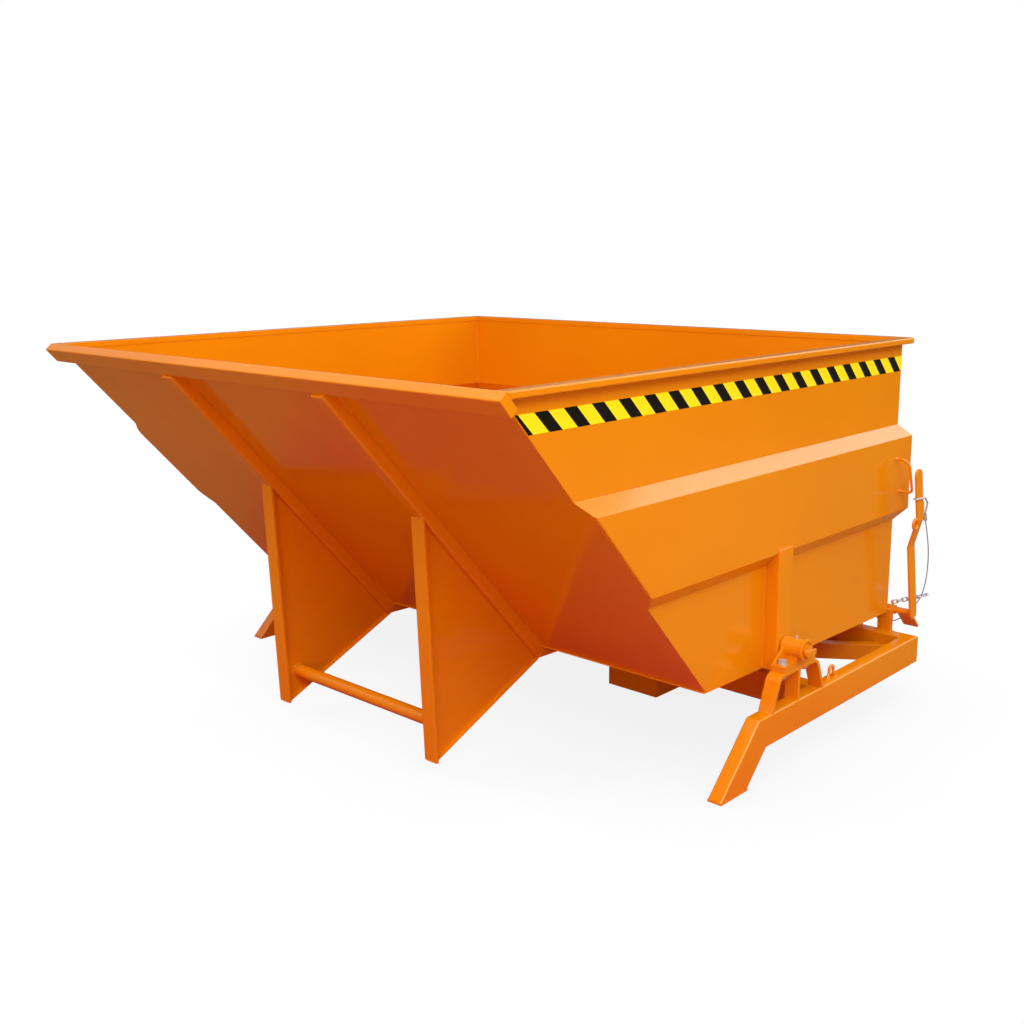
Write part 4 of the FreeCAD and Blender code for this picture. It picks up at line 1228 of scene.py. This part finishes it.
@dataclass
class Studio:
    """Pale floor, white surroundings and soft lamps."""

    floor_half: float = 60.0
    floor_drop: float = 0.0005
    white: Colour = (1.0, 1.0, 1.0, 1.0)
    ambient: float = 0.47
    ambient_tint: Colour = (1.0, 0.78, 0.70, 1.0)
    haze: tuple[float, float] = (0.04, 0.10)
    zenith: tuple[float, float] = (0.85, 1.0)
    lamps: tuple[SoftBox, ...] = (
        SoftBox("fore_key", (2.8, 5.0, 5.0), (0.2, 0.7, 0.6), 4.0, 3.0, 196.0, (0.96, 1.0, 1.0)),
        SoftBox("side_key", (-0.8, 5.4, 5.2), (0.0, 0.9, 0.7), 4.5, 3.0, 62.0),
        SoftBox("front_key", (4.6, 1.2, 5.6), (0.6, 0.0, 0.7), 3.6, 3.0, 163.0, (1.0, 0.80, 0.72)),
        SoftBox("front_fill", (5.0, 4.4, 1.3), (0.3, 0.4, 0.5), 3.0, 2.0, 74.0, (1.0, 0.30, 0.22)),
        SoftBox("rear_soft", (-5.0, 3.6, 3.8), (0.0, 1.0, 1.0), 5.4, 3.8, 115.0),
        SoftBox("far_soft", (-2.6, -5.6, 4.2), (0.0, -1.0, 0.7), 4.5, 3.0, 90.0),
    )

    def build(self) -> None:
        """Lay the floor, set the surroundings and hang the lamps."""
        half = self.floor_half
        corners = [Vector((x * half, y * half, 0.0)) for x, y in ((-1, -1), (1, -1), (1, 1), (-1, 1))]
        floor = mesh_piece("floor", corners, [(0, 1, 2, 3)], PaleFloor().material())
        floor.location.z = -self.floor_drop
        floor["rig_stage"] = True
        self.build_world()
        for lamp in self.lamps:
            lamp.build()

    def build_world(self) -> None:
        """White for the eye, a sky growing paler upwards in reflections, soft light for the rest."""
        world = bpy.data.worlds.new("studio_white")
        world.use_nodes = True
        bpy.context.scene.world = world
        tree = world.node_tree
        tree.nodes.clear()
        join = tree.links.new
        place = tree.nodes.new("ShaderNodeTexCoord")
        split = tree.nodes.new("ShaderNodeSeparateXYZ")
        join(place.outputs["Generated"], split.inputs[0])
        sky = tree.nodes.new("ShaderNodeMapRange")
        for socket, value in zip(("From Min", "To Min", "From Max", "To Max"), self.haze + self.zenith):
            sky.inputs[socket].default_value = value
        join(split.outputs["Z"], sky.inputs["Value"])
        soft = self.background(tree, self.ambient_tint, self.ambient)
        mirrored = self.background(tree, self.white)
        join(sky.outputs["Result"], mirrored.inputs["Strength"])
        plain = self.background(tree, self.white)
        rays = tree.nodes.new("ShaderNodeLightPath")
        straight = tree.nodes.new("ShaderNodeMath")
        straight.operation = "MAXIMUM"
        join(rays.outputs["Is Camera Ray"], straight.inputs[0])
        join(rays.outputs["Is Transmission Ray"], straight.inputs[1])
        light = soft
        for share, other in ((rays.outputs["Is Glossy Ray"], mirrored), (straight.outputs[0], plain)):
            choice = tree.nodes.new("ShaderNodeMixShader")
            join(share, choice.inputs[0])
            join(light.outputs[0], choice.inputs[1])
            join(other.outputs[0], choice.inputs[2])
            light = choice
        output = tree.nodes.new("ShaderNodeOutputWorld")
        join(light.outputs[0], output.inputs["Surface"])

    @staticmethod
    def background(tree: bpy.types.NodeTree, colour: Colour, strength: float = 1.0) -> bpy.types.Node:
        """Add a light to the surroundings.

        Args:
            tree: Node tree of the surroundings.
            colour: Colour of the light.
            strength: Its strength, where 1 shows its own colour.

        Returns:
            The light's node.
        """
        node = tree.nodes.new("ShaderNodeBackground")
        node.inputs["Color"].default_value = colour
        node.inputs["Strength"].default_value = strength
        return node


@dataclass(frozen=True)
class PhotoCamera:
    """Camera at the photograph's place, fitted to the tub's edges."""

    place: Point = (2.99308, 2.9802, 1.6092)
    heading_degrees: float = 132.193
    level_degrees: float = 90.0
    pitch_degrees: float = -12.348
    roll_degrees: float = -0.3136
    lens: float = 41.987
    sensor: float = 36.0
    shift_x: float = -0.03688
    shift_y: float = -0.00523
    farthest: float = 500.0

    def build(self) -> None:
        """Make the camera and set it as the scene's."""
        data = bpy.data.cameras.new("photo_camera")
        data.lens = self.lens
        data.sensor_width = self.sensor
        data.shift_x = self.shift_x
        data.shift_y = self.shift_y
        data.clip_end = self.farthest
        camera = bpy.data.objects.new("photo_camera", data)
        turn = Matrix.Rotation(math.radians(self.heading_degrees), 4, "Z")
        tilt = Matrix.Rotation(math.radians(self.level_degrees + self.pitch_degrees), 4, "X")
        roll = Matrix.Rotation(math.radians(self.roll_degrees), 4, "Z")
        camera.matrix_world = Matrix.Translation(self.place) @ turn @ tilt @ roll
        bpy.context.scene.collection.objects.link(camera)
        bpy.context.scene.camera = camera


def main() -> None:
    """Build the camera, the part's looks and the studio, and report each piece."""
    logging.basicConfig(level=logging.INFO)
    bpy.context.scene.view_settings.view_transform = "Standard"
    PhotoCamera().build()
    finishes = Finishes()
    for assembly in (LatchGear(finishes), Tub(finishes), BaseFrame(finishes)):
        assembly.build()
        assembly.dress()
    Studio().build()
    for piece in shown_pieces():
        LOG.info("piece %s", piece.name)


if __name__ == "__main__":
    main()
